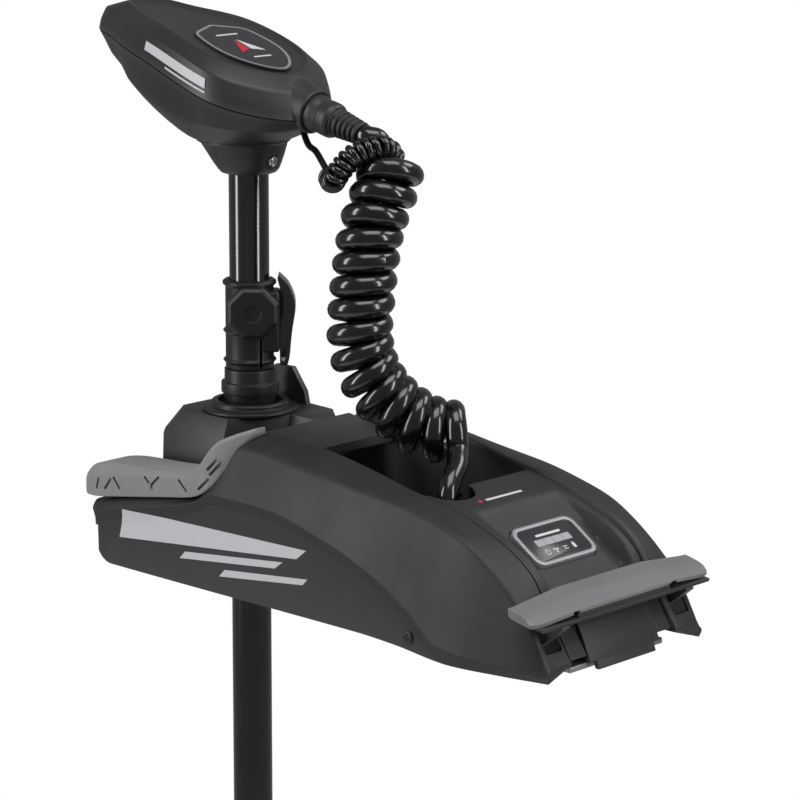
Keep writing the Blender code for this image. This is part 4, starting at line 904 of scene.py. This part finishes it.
# ---------------------------------------------------------------- pedal and flap
def pedal_pad():
    """Rubber foot pad over the pedal: flat in the middle, lowered and chamfered towards both ends."""
    profile = fillet([(342.5, 57), (357, 53.4), (369.5, 43.3), (370, 41.3), (346, 45.3), (343, 49.5)],
                     [1.4, 3.0, 1.0, 0.8, 1.5, 1.5], 3, True)
    rings = []
    for y in (-96, -95, -92, -88, -80, -70, -60, -50, -46, -44, -20, 0, 20, 44, 46, 50, 60, 70, 80, 88, 92,
              95, 96):
        drop = PEDAL_BOW * min(1, max(0, abs(y) - 45) / 46)
        pinch = 0.93 if abs(y) > 95.5 else 1
        front = 370 - max(0, abs(y) - 45) * 0.07 - max(0, abs(y) - 86) * 0.35
        ring = []
        for x, z in profile:
            x = 356 + (min(x, front) - 356) * pinch
            bowed = (z - drop * min(1, max(0, (z - 44.5) / 8))
                     + (PEDAL_BOW - drop) * min(1, max(0, (56 - z) / 12)))
            ring.append(at(x, y, 48 + (bowed - 48) * pinch))
        rings.append(ring)
    verts, faces = skin(rings)
    pad = piece("pedal_rubber", verts, faces, PEDAL, None, ride=False)
    cutters = []
    for y in (-58, 47):
        cutters.append(box_solid((366.5, 372), (y, y + 6), (38, 46.9)))
    carve(pad, cutters)
    finish_piece(pad, PEDAL, "pedal", ["pedal_pad"], 5)
    verts, faces = prism([(356, 46.8), (368.9, 45.0), (368.9, 45.6), (356, 47.5)], -50, 45, xz)
    piece("pedal_wear_strip", verts, faces, ZINC, "pedal", (), 30)
    verts, faces = prism([(357, 42.2), (368.2, 40.4), (368.2, 44.9), (357, 46.4)], -52, 47, xz)
    piece("pedal_backing", verts, faces, HOUSING, "pedal", (), 30)


def end_flap():
    outline = [(350.2, 36.8), (352.4, 37.6), (360, 24), (368, 6), (370, 0.5), (366.5, 0.5), (363, 8),
               (356, 22)]
    verts, faces = prism(outline, -37.6, 37.6, xz)
    flap = piece("flap_panel", verts, faces, COVER, None, ride=False)
    cutters = [box_solid((355, 375), tuple(sorted((side * 31, side * 39))), (-2, 6.5)) for side in (-1, 1)]
    carve(flap, cutters)
    soften(flap, 0.8, 2, 30)
    return finish_piece(flap, COVER, "base", ["end_flap"], 50)


pedal_pad()
end_flap()
phillips_screw("cover_plug", (251, -94.6, 12.8), "-Y", 4.4, 1.0, "base", material=SOFT_BLACK)
phillips_screw("cover_plug_far", (251, 94.6, 12.8), "Y", 4.4, 1.0, "base", material=SOFT_BLACK)

# ---------------------------------------------------------------- gear case, sleeve, collar, mast
refined("steering_housing", HOUSING, 1.6, 3)
spin("flange_ring", [(24.5, 128.8), (28.5, 128.8), (29.6, 127.5), (29.6, 124.9), (33, 124.7), (36.4, 123.7),
                     (36.8, 122.1),
                     (36.4, 121.3), (26.7, 121.3), (26.7, 111.3), (24.5, 111.3)], (0, 0, 0), "Z", COLLAR,
                     "carriage",
     ["top_flange"], 96, [0.5, 1.6, 1.2, 0.8, 1.4, 1.4, 0.8, 0.3, 0, 0.3, 0.3])
spin("sleeve_tube", [(19.3, 153), (19.3, 143), (21.8, 143), (21.8, 134.5), (19.3, 134.5), (19.3, 62),
                     (15.5, 62),
                     (15.5, 153)], (0, 0, 0), "Z", COLLAR, "sleeve", ["drive_sleeve"], 72,
                     [0.6, 0.5, 1.0, 1.0, 0.5, 0.4,
                                                                                           0.3, 0.5])
YAW = Matrix.Rotation(math.radians(43), 4, "Z")
MAST_FRAME = Matrix.Translation(at(0, 0, 0))


def turned_yaw(points):
    """Places laid out in the collar's own directions, as world places."""
    return [MAST_FRAME @ YAW @ MAST_FRAME.inverted() @ p for p in points]


def collar():
    profile = [(15.5, 221), (18.2, 221), (20.2, 219.5), (20.2, 217.5), (18.2, 216)]
    for z in (182, 159.5):
        profile += [(18.2, z + 2.2), (20.2, z), (18.2, z - 2.2)]
    profile += [(18.2, 153.6), (15.5, 153.6)]
    body = spin("collar_sleeve", profile, (0, 0, 0), "Z", COLLAR, "collar", (), 96, 0.5)
    body.parent = None
    verts, faces = box_solid((8.2, 10), (-40, -10), (150, 181.5))
    carve(body, [(turned_yaw(verts), faces)])
    finish_piece(body, COLLAR, "collar", ["depth_collar"], 35)
    knob = [(20.9, 2.5), (20.9, 11.5), (17.4, 14), (6.5, 14), (6.5, 12.4), (0, 12.4), (0, -4), (15, -4)]
    sides, count = 8, 160
    line = fillet(knob, [0.8, 1.2, 1.2, 0.6, 0.5, 0, 0, 0], 3)
    matrix = MAST_FRAME @ YAW @ Matrix.Translation((0.0035, -0.0135, 0.1985)) @ Matrix.Rotation(math.pi / 2,
                                                                                                4, "X")
    rings = []
    for i in range(count):
        angle = 2 * math.pi * i / count
        flat = max(0.925, math.cos(math.pi / sides)
                   / math.cos((angle + math.pi / sides) % (2 * math.pi / sides)
                                                             - math.pi / sides))
        rings.append([matrix @ Vector((r * flat * math.cos(angle) / 1000, r * flat * math.sin(angle) / 1000,
                                       h / 1000))
                      for r, h in line])
    rings.append(rings[0])
    verts, faces = skin(rings, closed=False, caps=(False, False))
    piece("collar_knob", verts, faces, COLLAR, "collar", (), 40)
    verts, faces = box_solid((9, 22.8), (-15, 8), (167, 213))
    ear = piece("collar_ear", turned_yaw(verts), faces, COLLAR, None, ride=False)
    soften(ear, 2.0, 3)
    finish_piece(ear, COLLAR, "collar", (), 50)


def clamp_lever():
    x, z = 25.5, 161
    outline = [(x - 2.5, z - 5), (x + 3, z - 5), (x + 4.5, z), (x + 6, z + 18), (x + 9, z + 35),
               (x + 9, z + 45),
               (x + 4, z + 57), (x - 3.5, z + 64), (x - 4.3, z + 61), (x - 2.3, z + 54), (x - 2.3, z + 48),
               (x - 2.3, z + 40), (x - 2.3, z + 30), (x - 2.5, z + 20), (x - 2.8, z + 8)]
    verts, faces = prism(fillet(outline, [1.5, 1.5, 2, 9, 5, 5, 5, 1.2, 1.2, 2, 2, 3, 4, 4, 2], 4, True),
                         -8.5, 8.5, xz)
    lever = piece("lever_handle", turned_yaw(verts), faces, GLOSS, None, ride=False)
    bore = rod_solid(2.0, -20, 20, MAST_FRAME @ YAW @ Matrix.Translation((x / 1000, 0, z / 1000))
                     @ Matrix.Rotation(math.pi / 2, 4, "X"))
    carve(lever, [bore])
    soften(lever, 1.1, 3, 40)
    return finish_piece(lever, GLOSS, "lever", ["clamp_lever"], 50)


collar()
clamp_lever()
spin("mast_shaft", [(15, 330), (15, -889), (12.5, -889), (12.5, 330)], (0, 0, 0), "Z", GLOSS, "column",
     ["mast_tube"], 128,
     0.4)

# ---------------------------------------------------------------- head
HEAD_PLAN = [(-147, 0), (-144, 12), (-138, 23), (-112, 34), (-84, 45), (-44, 56), (0, 60), (28, 55), (50, 38),
             (64, 18), (69, 0)]
part_at = smooth_line([(-147, 401), (-112, 396.5), (-84, 390.5), (-51, 383.7), (-18, 373.3), (16, 361.4),
                       (37, 354.5),
                       (50, 350.5), (69, 346)])
top_at = smooth_line([(-147, 415.5), (-138, 417), (-110, 414), (-82, 408.5), (-60, 405), (-45, 401.8),
                      (45, 371.2),
                      (56, 368), (69, 365)])
bowl_at = smooth_line([(-147, 398), (-134, 387), (-118, 371.5), (-98, 358.5), (-86, 346), (-70, 337.5),
                       (-50, 331.5),
                       (-28, 327.5), (0, 326), (40, 329.5), (69, 338)])
HEAD_OUTLINE = curve_through(HEAD_PLAN + [(x, -w) for x, w in HEAD_PLAN[-2:0:-1]], 8, closed=True)
HEAD_MIDDLE = -20.0


def head_ring(scale, height, rise=0.0):
    ring = []
    for x, w in HEAD_OUTLINE:
        x_in = HEAD_MIDDLE + (x - HEAD_MIDDLE) * scale
        ring.append(np.array(at(x_in, w * scale, height(x_in) + rise)))
    return ring


def gland_frame():
    return Matrix.Translation(at(63, 0, 354)) @ Matrix.Rotation(math.radians(104), 4, "Y")


def head_upper():
    rings = rounded_loft([head_ring(1.0, part_at), head_ring(0.985,
                                                             lambda x: part_at(x) * 0.55 + top_at(x) * 0.45),
                          head_ring(0.94, top_at), head_ring(0.76, top_at, 8.5),
                          head_ring(0.705, top_at, 5.5),
                          head_ring(0.30, top_at, 5.5)], [0, 12, 2.2, 4.0, 1.5, 0], 4)
    verts, faces = skin(rings, caps=(False, True))
    shell = piece("head_top_shell", verts, faces, HEAD_TOP, None, ride=False)
    walled(shell, SHELL_WALL)
    carve(shell, [rod_solid(14.3, -20, 46, gland_frame(), 48)])
    return finish_piece(shell, HEAD_TOP, "column", ["head_upper_cover"], 28)


def head_lower():
    top = [p - np.array((0, 0, 0.0012)) for p in head_ring(0.995, part_at)]
    bowl = head_ring(0.86, bowl_at)
    flank = [a * 0.45 + b * 0.55 for a, b in zip(top, bowl)]
    low = head_ring(0.62, bowl_at, -1)
    angles = [math.atan2(w, x + 0.001) for x, w in HEAD_OUTLINE]
    rings = [top]
    for t in (0.25, 0.5, 0.75, 1.0):
        rings.append([a * (1 - t) + b * t for a, b in zip(top, flank)])
    neck = []
    for radius, z, shift in (
            (35, 326.4, -5), (35, 325.2, -5), (32.5, 323.6, -4.5), (29, 316, -2.5), (25.5, 309, -1),
            (23, 304.5, 0),
            (20.8, 302, 0), (18, 301, 0)):
        neck.append([np.array(at(shift + radius * math.cos(a), radius * math.sin(a), z)) for a in angles])
    first = neck[0]
    for t in np.linspace(0.15, 1.0, 7):
        rings.append([(1 - t) ** 2 * a + 2 * t * (1 - t) * b + t * t * c for a, b,
                      c in zip(flank, low, first)])
    rings += neck[1:]
    verts, faces = skin(rings, caps=(False, False))
    shell = piece("head_bowl_shell", verts, faces, HEAD_TOP, None, ride=False)
    if shell.data.polygons[0].normal.dot(shell.data.polygons[0].center - at(-20, 0, 360)) < 0:
        shell.data.flip_normals()
    walled(shell, SHELL_WALL)
    cutters = [rod_solid(14.3, -20, 46, gland_frame(), 48)]
    reach, height = NECK_SCREW
    for axis, x in (("X", reach), ("-X", -reach)):
        cutters.append(rod_solid(NECK_HOLE_RADIUS, 0, 12, axis_frame((x, 0, height), axis), 32))
    carve(shell, cutters)
    finish_piece(shell, HEAD_TOP, "column", ["head_lower_cover"], 32)
    spin("head_neck_ring", [(20.4, 322), (20.4, 302.2), (15.3, 302.2), (15.3, 322)], (0, 0, 0), "Z",
         HEAD_TOP, "column",
         (), 64, 0.4)
    for label, axis, x in (("rear", "X", reach), ("front", "-X", -reach)):
        spin(label + "_screw_seat", [(6.6, -0.3), (6.6, -6), (2.0, -6), (2.0, -0.3)], None, "Z", HEAD_TOP,
             "column", (), 40,
             0.3, frame_matrix=axis_frame((x, 0, height), axis))
        phillips_screw(label + "_neck_screw_head", (x, 0, height), axis, 4.2, 2.6, "column",
                       [label + "_neck_screw"])


def head_gland():
    matrix = gland_frame()
    spin("gland_collar", [(4.5, 30), (11.5, 30), (13.2, 27), (13.2, 19), (12.2, 17.5), (14, 12), (14, -4),
                          (4.5, -4)], None,
         "Z", HEAD_TOP, "column", ["gland_nut"], 64, [0.3, 1.5, 2.5, 2.5, 1.0, 1.5, 0.3, 0.3],
         frame_matrix=matrix)
    profile = [(8.0, 56.0)]
    for i in range(5):
        z, r = 55.0 - 4.6 * i, 8.7 + 0.42 * i
        profile += [(r, z), (r, z - 2.6), (r - 1.3, z - 3.1), (r - 1.3, z - 4.1)]
    profile += [(10.6, 31.6), (10.6, 30.3), (4.2, 30.3), (4.2, 56.0)]
    spin("cord_relief", profile, None, "Z", SOFT_BLACK, "column", ["strain_relief"], 48, 0.4,
         frame_matrix=matrix)
    boss = [(16.6, 8), (16.9, 3), (18.2, -6), (20, -14), (14.4, -14), (14.4, 8)]
    spin("head_cord_boss", boss, None, "Z", HEAD_TOP, "column", (), 64, [1.0, 2.5, 4, 0, 0, 0.5],
         frame_matrix=matrix)


LABEL_HALF = [(-44, 0), (-33, 27), (-10, 31), (9, 29.5), (25, 22), (37, 11), (42, 0)]


def label_frame():
    return Matrix.Translation(at(0, 0, top_at(0) + 5.5)) @ Matrix.Rotation(math.atan(0.34), 4, "Y")


def on_label(name, ring, low, high, material, nodes=(), hole=None):
    matrix = label_frame()

    def lift(points, h):
        return [matrix @ Vector((a / 1000, b / 1000, h / 1000)) for a, b in points]
    if hole:
        rings = [lift(ring, low), lift(ring, high), lift(hole, high), lift(hole, low), lift(ring, low)]
        verts, faces = skin(rings, caps=(False, False))
    else:
        verts, faces = skin([lift(ring, low), lift(ring, high)])
    return piece(name, verts, faces, material, "column", nodes, 35)


def inset(ring, amount):
    """A closed outline moved in by an amount."""
    pts = np.array(ring)
    ahead, behind = np.roll(pts, -1, axis=0), np.roll(pts, 1, axis=0)
    tangent = ahead - behind
    tangent /= np.linalg.norm(tangent, axis=1)[:, None]
    normal = np.stack([-tangent[:, 1], tangent[:, 0]], axis=1)
    area = 0.5 * np.sum(pts[:, 0] * ahead[:, 1] - ahead[:, 0] * pts[:, 1])
    return [tuple(p) for p in pts + normal * amount * (1 if area > 0 else -1)]


def head_label():
    full = LABEL_HALF + [(x, -y) for x, y in LABEL_HALF[-2:0:-1]]
    ring = fillet(full, [3.5, 8, 9, 9, 8, 8, 12, 8, 8, 9, 9, 8], 5, True)
    on_label("label_plate", ring, 0.3, 1.45, LABEL, ["head_label"])
    on_label("label_border", inset(ring, 0.9), 1.5, 1.68, SILVER, hole=inset(ring, 3.0))
    on_label("label_arrow_red", fillet([(-15, -1), (7, -12), (2.4, -1)], 0.8, 3, True), 1.5, 1.64, RED_PRINT)
    on_label("label_arrow_pale", fillet([(-15, 1), (2.4, 1), (7, 12)], 0.8, 3, True), 1.5, 1.64, PRINT)
    bar = rounded_rectangle(1.0, 11, 0.9, 3)
    on_label("label_bar_a", [(a - 24, b) for a, b in bar], 1.5, 1.64, PRINT)
    on_label("label_bar_b", [(a + 16, b * 0.8) for a, b in bar], 1.5, 1.64, PRINT)


def head_stripe():
    """Two thin printed bars along the near and far sides of the head."""
    low_ring, mid, high_ring = (head_ring(1.0, part_at),
                                head_ring(0.985, lambda x: part_at(x) * 0.55 + top_at(x) * 0.45),
                                head_ring(0.94, top_at))
    count = len(HEAD_OUTLINE)
    for label, sign in (("near", -1), ("far", 1)):
        chosen = [i for i in range(count)
                  if -58 <= HEAD_OUTLINE[i][0] <= 16 and HEAD_OUTLINE[i][1] * sign > 0]
        chosen.sort(key=lambda i: HEAD_OUTLINE[i][0])
        for index, (v0, v1, skip) in enumerate(((0.40, 0.74, 0), (0.22, 0.30, 5))):
            use = chosen[skip:]
            layers = []
            for lift in (0.05, 0.25):
                layer = []
                for v in (v0, (v0 + v1) / 2, v1):
                    for i in use:
                        a, b, c = low_ring[i], mid[i], high_ring[i]
                        t = v / 0.45
                        p = a + (b - a) * t if t <= 1 else b + (c - b) * (v - 0.45) / 0.55
                        out = np.array((0.0, sign * 1.0, 0.25))
                        layer.append(Vector(p + out * (lift + 0.35) / 1000))
                layers.append(layer)
            closed_sheet(f"head_{label}_bar_{index}", layers, (len(use) - 1, 2), PRINT, "column")


head_upper()
head_lower()
head_gland()
head_label()
head_stripe()
spin("head_rivet", [(0, 0.9), (2.2, 0.6), (2.8, -0.6), (0, -0.6)], (2, -34.2, 327.6), "Z", RIVET, "column",
     (), 24, 0.3)

# ---------------------------------------------------------------- lower unit
POD_Z = -935.0
PODX = axis_frame((0, 0, POD_Z), "X")


def on_pod(name, profile, material, body, nodes=(), radii=0.8, sides=96):
    return spin(name, profile, None, "Z", material, body, nodes, sides, radii, frame_matrix=PODX)


def lower_unit():
    on_pod("pod_shell", [(45, -70), (45, 95), (41, 95), (41, -70)], GLOSS, "column", ["motor_housing"], 0.6)
    rings = []
    for t in np.linspace(0, 1, 9):
        radius = 17.5 + 7.5 * t ** 2.2
        rings.append([at(radius * (1 + 0.25 * t) * math.cos(a), radius * math.sin(a), -849 - 46 * t - 3 * t)
                      for a in np.linspace(0, 2 * math.pi, 64, endpoint=False)])
    verts, faces = skin(rings)
    neck = piece("pod_neck", verts, faces, GLOSS, None, ride=False)
    carve(neck, [rod_solid(15.3, -60, 30, axis_frame((0, 0, -850), "Z"), 96)])
    finish_piece(neck, GLOSS, "column", (), 40)
    nose = [(0, -152)] + [(45 * math.sin(math.pi / 2 * t) ** 0.72, -152 + 81.7 * t ** 1.25)
                          for t in np.linspace(0.04, 1.0, 24)] + [(0, -70.3)]
    on_pod("pod_nose", nose, GLOSS, "column", ["nose_cone"], 0)
    bell = [(5.4, 128), (14, 128), (22, 122), (38, 108), (45, 97), (45, 95.3), (40.6, 95.3), (40.6, 91),
            (37, 91), (35, 99),
            (21, 110), (15, 112), (15, 96.5), (11.5, 96.5), (11.5, 104.3), (5.4, 104.3)]
    on_pod("pod_tail", bell, GLOSS, "column", ["end_bell"], [0.5, 3, 8, 9, 1.5, 0.2, 0, 0, 0, 0, 0, 0, 0, 0,
                                                             0, 0])
    for x in (-66, 91):
        on_pod(f"pod_band_{x + 100}", [(45.35, x + 0.9), (45.35, x - 0.9), (44.6, x - 0.9), (44.6, x + 0.9)],
               SOFT_BLACK,
               "column", (), 0.3)
    fin = fillet([(-58, -980.4), (52, -980.4), (58, -1042), (40, -1058), (8, -1058)], [2, 2, 14, 12, 26], 6,
                 True)
    verts, faces = prism(fin, -2.5, 2.5, xz)
    skeg = piece("skeg_fin", verts, faces, GLOSS, None, ride=False)
    soften(skeg, 1.6, 3, 40)
    finish_piece(skeg, GLOSS, "column", ["skeg"], 50)


def blade(turn):
    sections = []
    for t in np.linspace(0, 1, 22):
        radius = 15 + 115 * t
        chord = 34 + 46 * math.sin(math.pi * min(1, t * 1.02) * 0.62) - 40 * t ** 4
        if t > 0.9:
            chord *= math.sqrt(max(0.02, 1 - ((t - 0.9) / 0.1) ** 2 * 0.9))
        pitch = math.radians(62 - 34 * t)
        sweep, thick = 10 * t * t, 4.2 - 2.6 * t
        ring = []
        for k in range(24):
            a = 2 * math.pi * k / 24
            u = 0.5 * math.cos(a) * chord + sweep
            v = (math.sin(a) if math.sin(a) > 0 else 0.12 * math.sin(a)) * thick / 2
            x = 140 + (u * math.cos(pitch) + v * math.sin(pitch)) * 0.32
            y = u * math.sin(pitch) * 0.9 - v * math.cos(pitch)
            spot = Vector((0, y, radius))
            spot.rotate(Matrix.Rotation(math.radians(turn), 3, "X"))
            ring.append(at(x, spot.y, POD_Z + spot.z))
        sections.append(ring)
    return sections


def propeller():
    on_pod("prop_hub", [(5.4, 156), (11, 156), (17, 149), (19, 136), (19, 130), (5.4, 130)], GLOSS,
           "propulsor",
           ["propeller"], [0.5, 1.5, 4, 3, 1, 0.3])
    for index in range(3):
        verts, faces = skin(blade(120 * index))
        piece(f"prop_blade_{index}", verts, faces, GLOSS, "propulsor", (), 60)


lower_unit()
propeller()

# ---------------------------------------------------------------- carried-over nodes
for name, material, width in (
        ("mount_frame", ALUMINIUM, 0.6), ("carriage_bracket", ALUMINIUM, 0.8),
        ("motor_controller", ALUMINIUM, 0.6),
        ("cord_gland", SOFT_BLACK, 1.0), ("pedal_lever", HOUSING, 0.5), ("latch_hook", STEEL, 0.4),
        ("release_rod", STEEL, 0.4)):
    refined(name, material, width)
SLOT_MATERIALS = {"cover_plastic": COVER, "gloss_black": GLOSS, "rest_rubber": REST, "cord_jacket": CORD,
                  "black_rubber": SOFT_BLACK, "aluminium": ALUMINIUM, "stainless": STEEL,
                  "silver_frame": SILVER,
                  "dark_lens": LENS, "circuit_green": BOARD, "brass": BRASS, "bronze": COPPER,
                  "ferrite": FERRITE,
                  "nylon": NYLON}
for entry in frame["record"]["materials"]:
    for name in entry.get("nodes", []):
        holder = NODES[name]
        holder.material_slots[0].link = "OBJECT"
        holder.material_slots[0].material = SLOT_MATERIALS[entry["slot"]]

# ---------------------------------------------------------------- pale stage and light
def studio():
    """A round pale floor in a white room that gives soft light, with softboxes above and at both sides."""
    floor_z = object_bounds()[0][2] - 0.004
    rings = [[Vector((r * math.cos(a), r * math.sin(a), z)) for a in np.linspace(0, 2 * math.pi, 96,
                                                                                 endpoint=False)]
             for r, z in ((1.9, floor_z), (1.9, floor_z - 0.02))]
    verts, faces = skin(rings)
    mesh = bpy.data.meshes.new("floor")
    mesh.from_pydata([tuple(v) for v in verts], [], faces)
    floor = bpy.data.objects.new("floor", mesh)
    bpy.context.scene.collection.objects.link(floor)
    mesh.materials.append(surface("pale_floor", (0.86, 0.86, 0.86), 0.9, tone=0.01))
    floor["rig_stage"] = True
    world = bpy.data.worlds.new("studio")
    bpy.context.scene.world = world
    world.use_nodes = True
    tree = world.node_tree
    seen, fill, mix, path = (tree.nodes["Background"], tree.nodes.new("ShaderNodeBackground"),
                             tree.nodes.new("ShaderNodeMixShader"), tree.nodes.new("ShaderNodeLightPath"))
    seen.inputs[0].default_value, seen.inputs[1].default_value = (1, 1, 1, 1), 1.0
    fill.inputs[0].default_value, fill.inputs[1].default_value = (1, 1, 1, 1), 0.24
    tree.links.new(path.outputs["Is Camera Ray"], mix.inputs[0])
    tree.links.new(fill.outputs[0], mix.inputs[1])
    tree.links.new(seen.outputs[0], mix.inputs[2])
    tree.links.new(mix.outputs[0], tree.nodes["World Output"].inputs["Surface"])
    middle = Vector((0.0, 0.0, 0.15))
    for name, azimuth, height, distance, size, power in (
            ("top", 60, 72, 2.6, (2.0, 1.5), 42), ("left", -32, 14, 2.6, (0.5, 2.4), 40),
            ("right", 100, 16, 2.6, (0.45, 2.2), 34), ("back", 150, 45, 2.8, (1.6, 1.0), 26)):
        a, e = math.radians(azimuth), math.radians(height)
        place = middle + distance * Vector((math.sin(a) * math.cos(e), -math.cos(a) * math.cos(e),
                                            math.sin(e)))
        data = bpy.data.lights.new(name, "AREA")
        data.shape, data.size, data.size_y, data.energy = "RECTANGLE", size[0], size[1], power
        lamp = bpy.data.objects.new(name, data)
        lamp.matrix_world = (Matrix.Translation(place)
                             @ (place - middle).to_track_quat("Z", "Y").to_matrix().to_4x4())
        bpy.context.scene.collection.objects.link(lamp)


studio()
bpy.context.scene.view_settings.view_transform = "Standard"
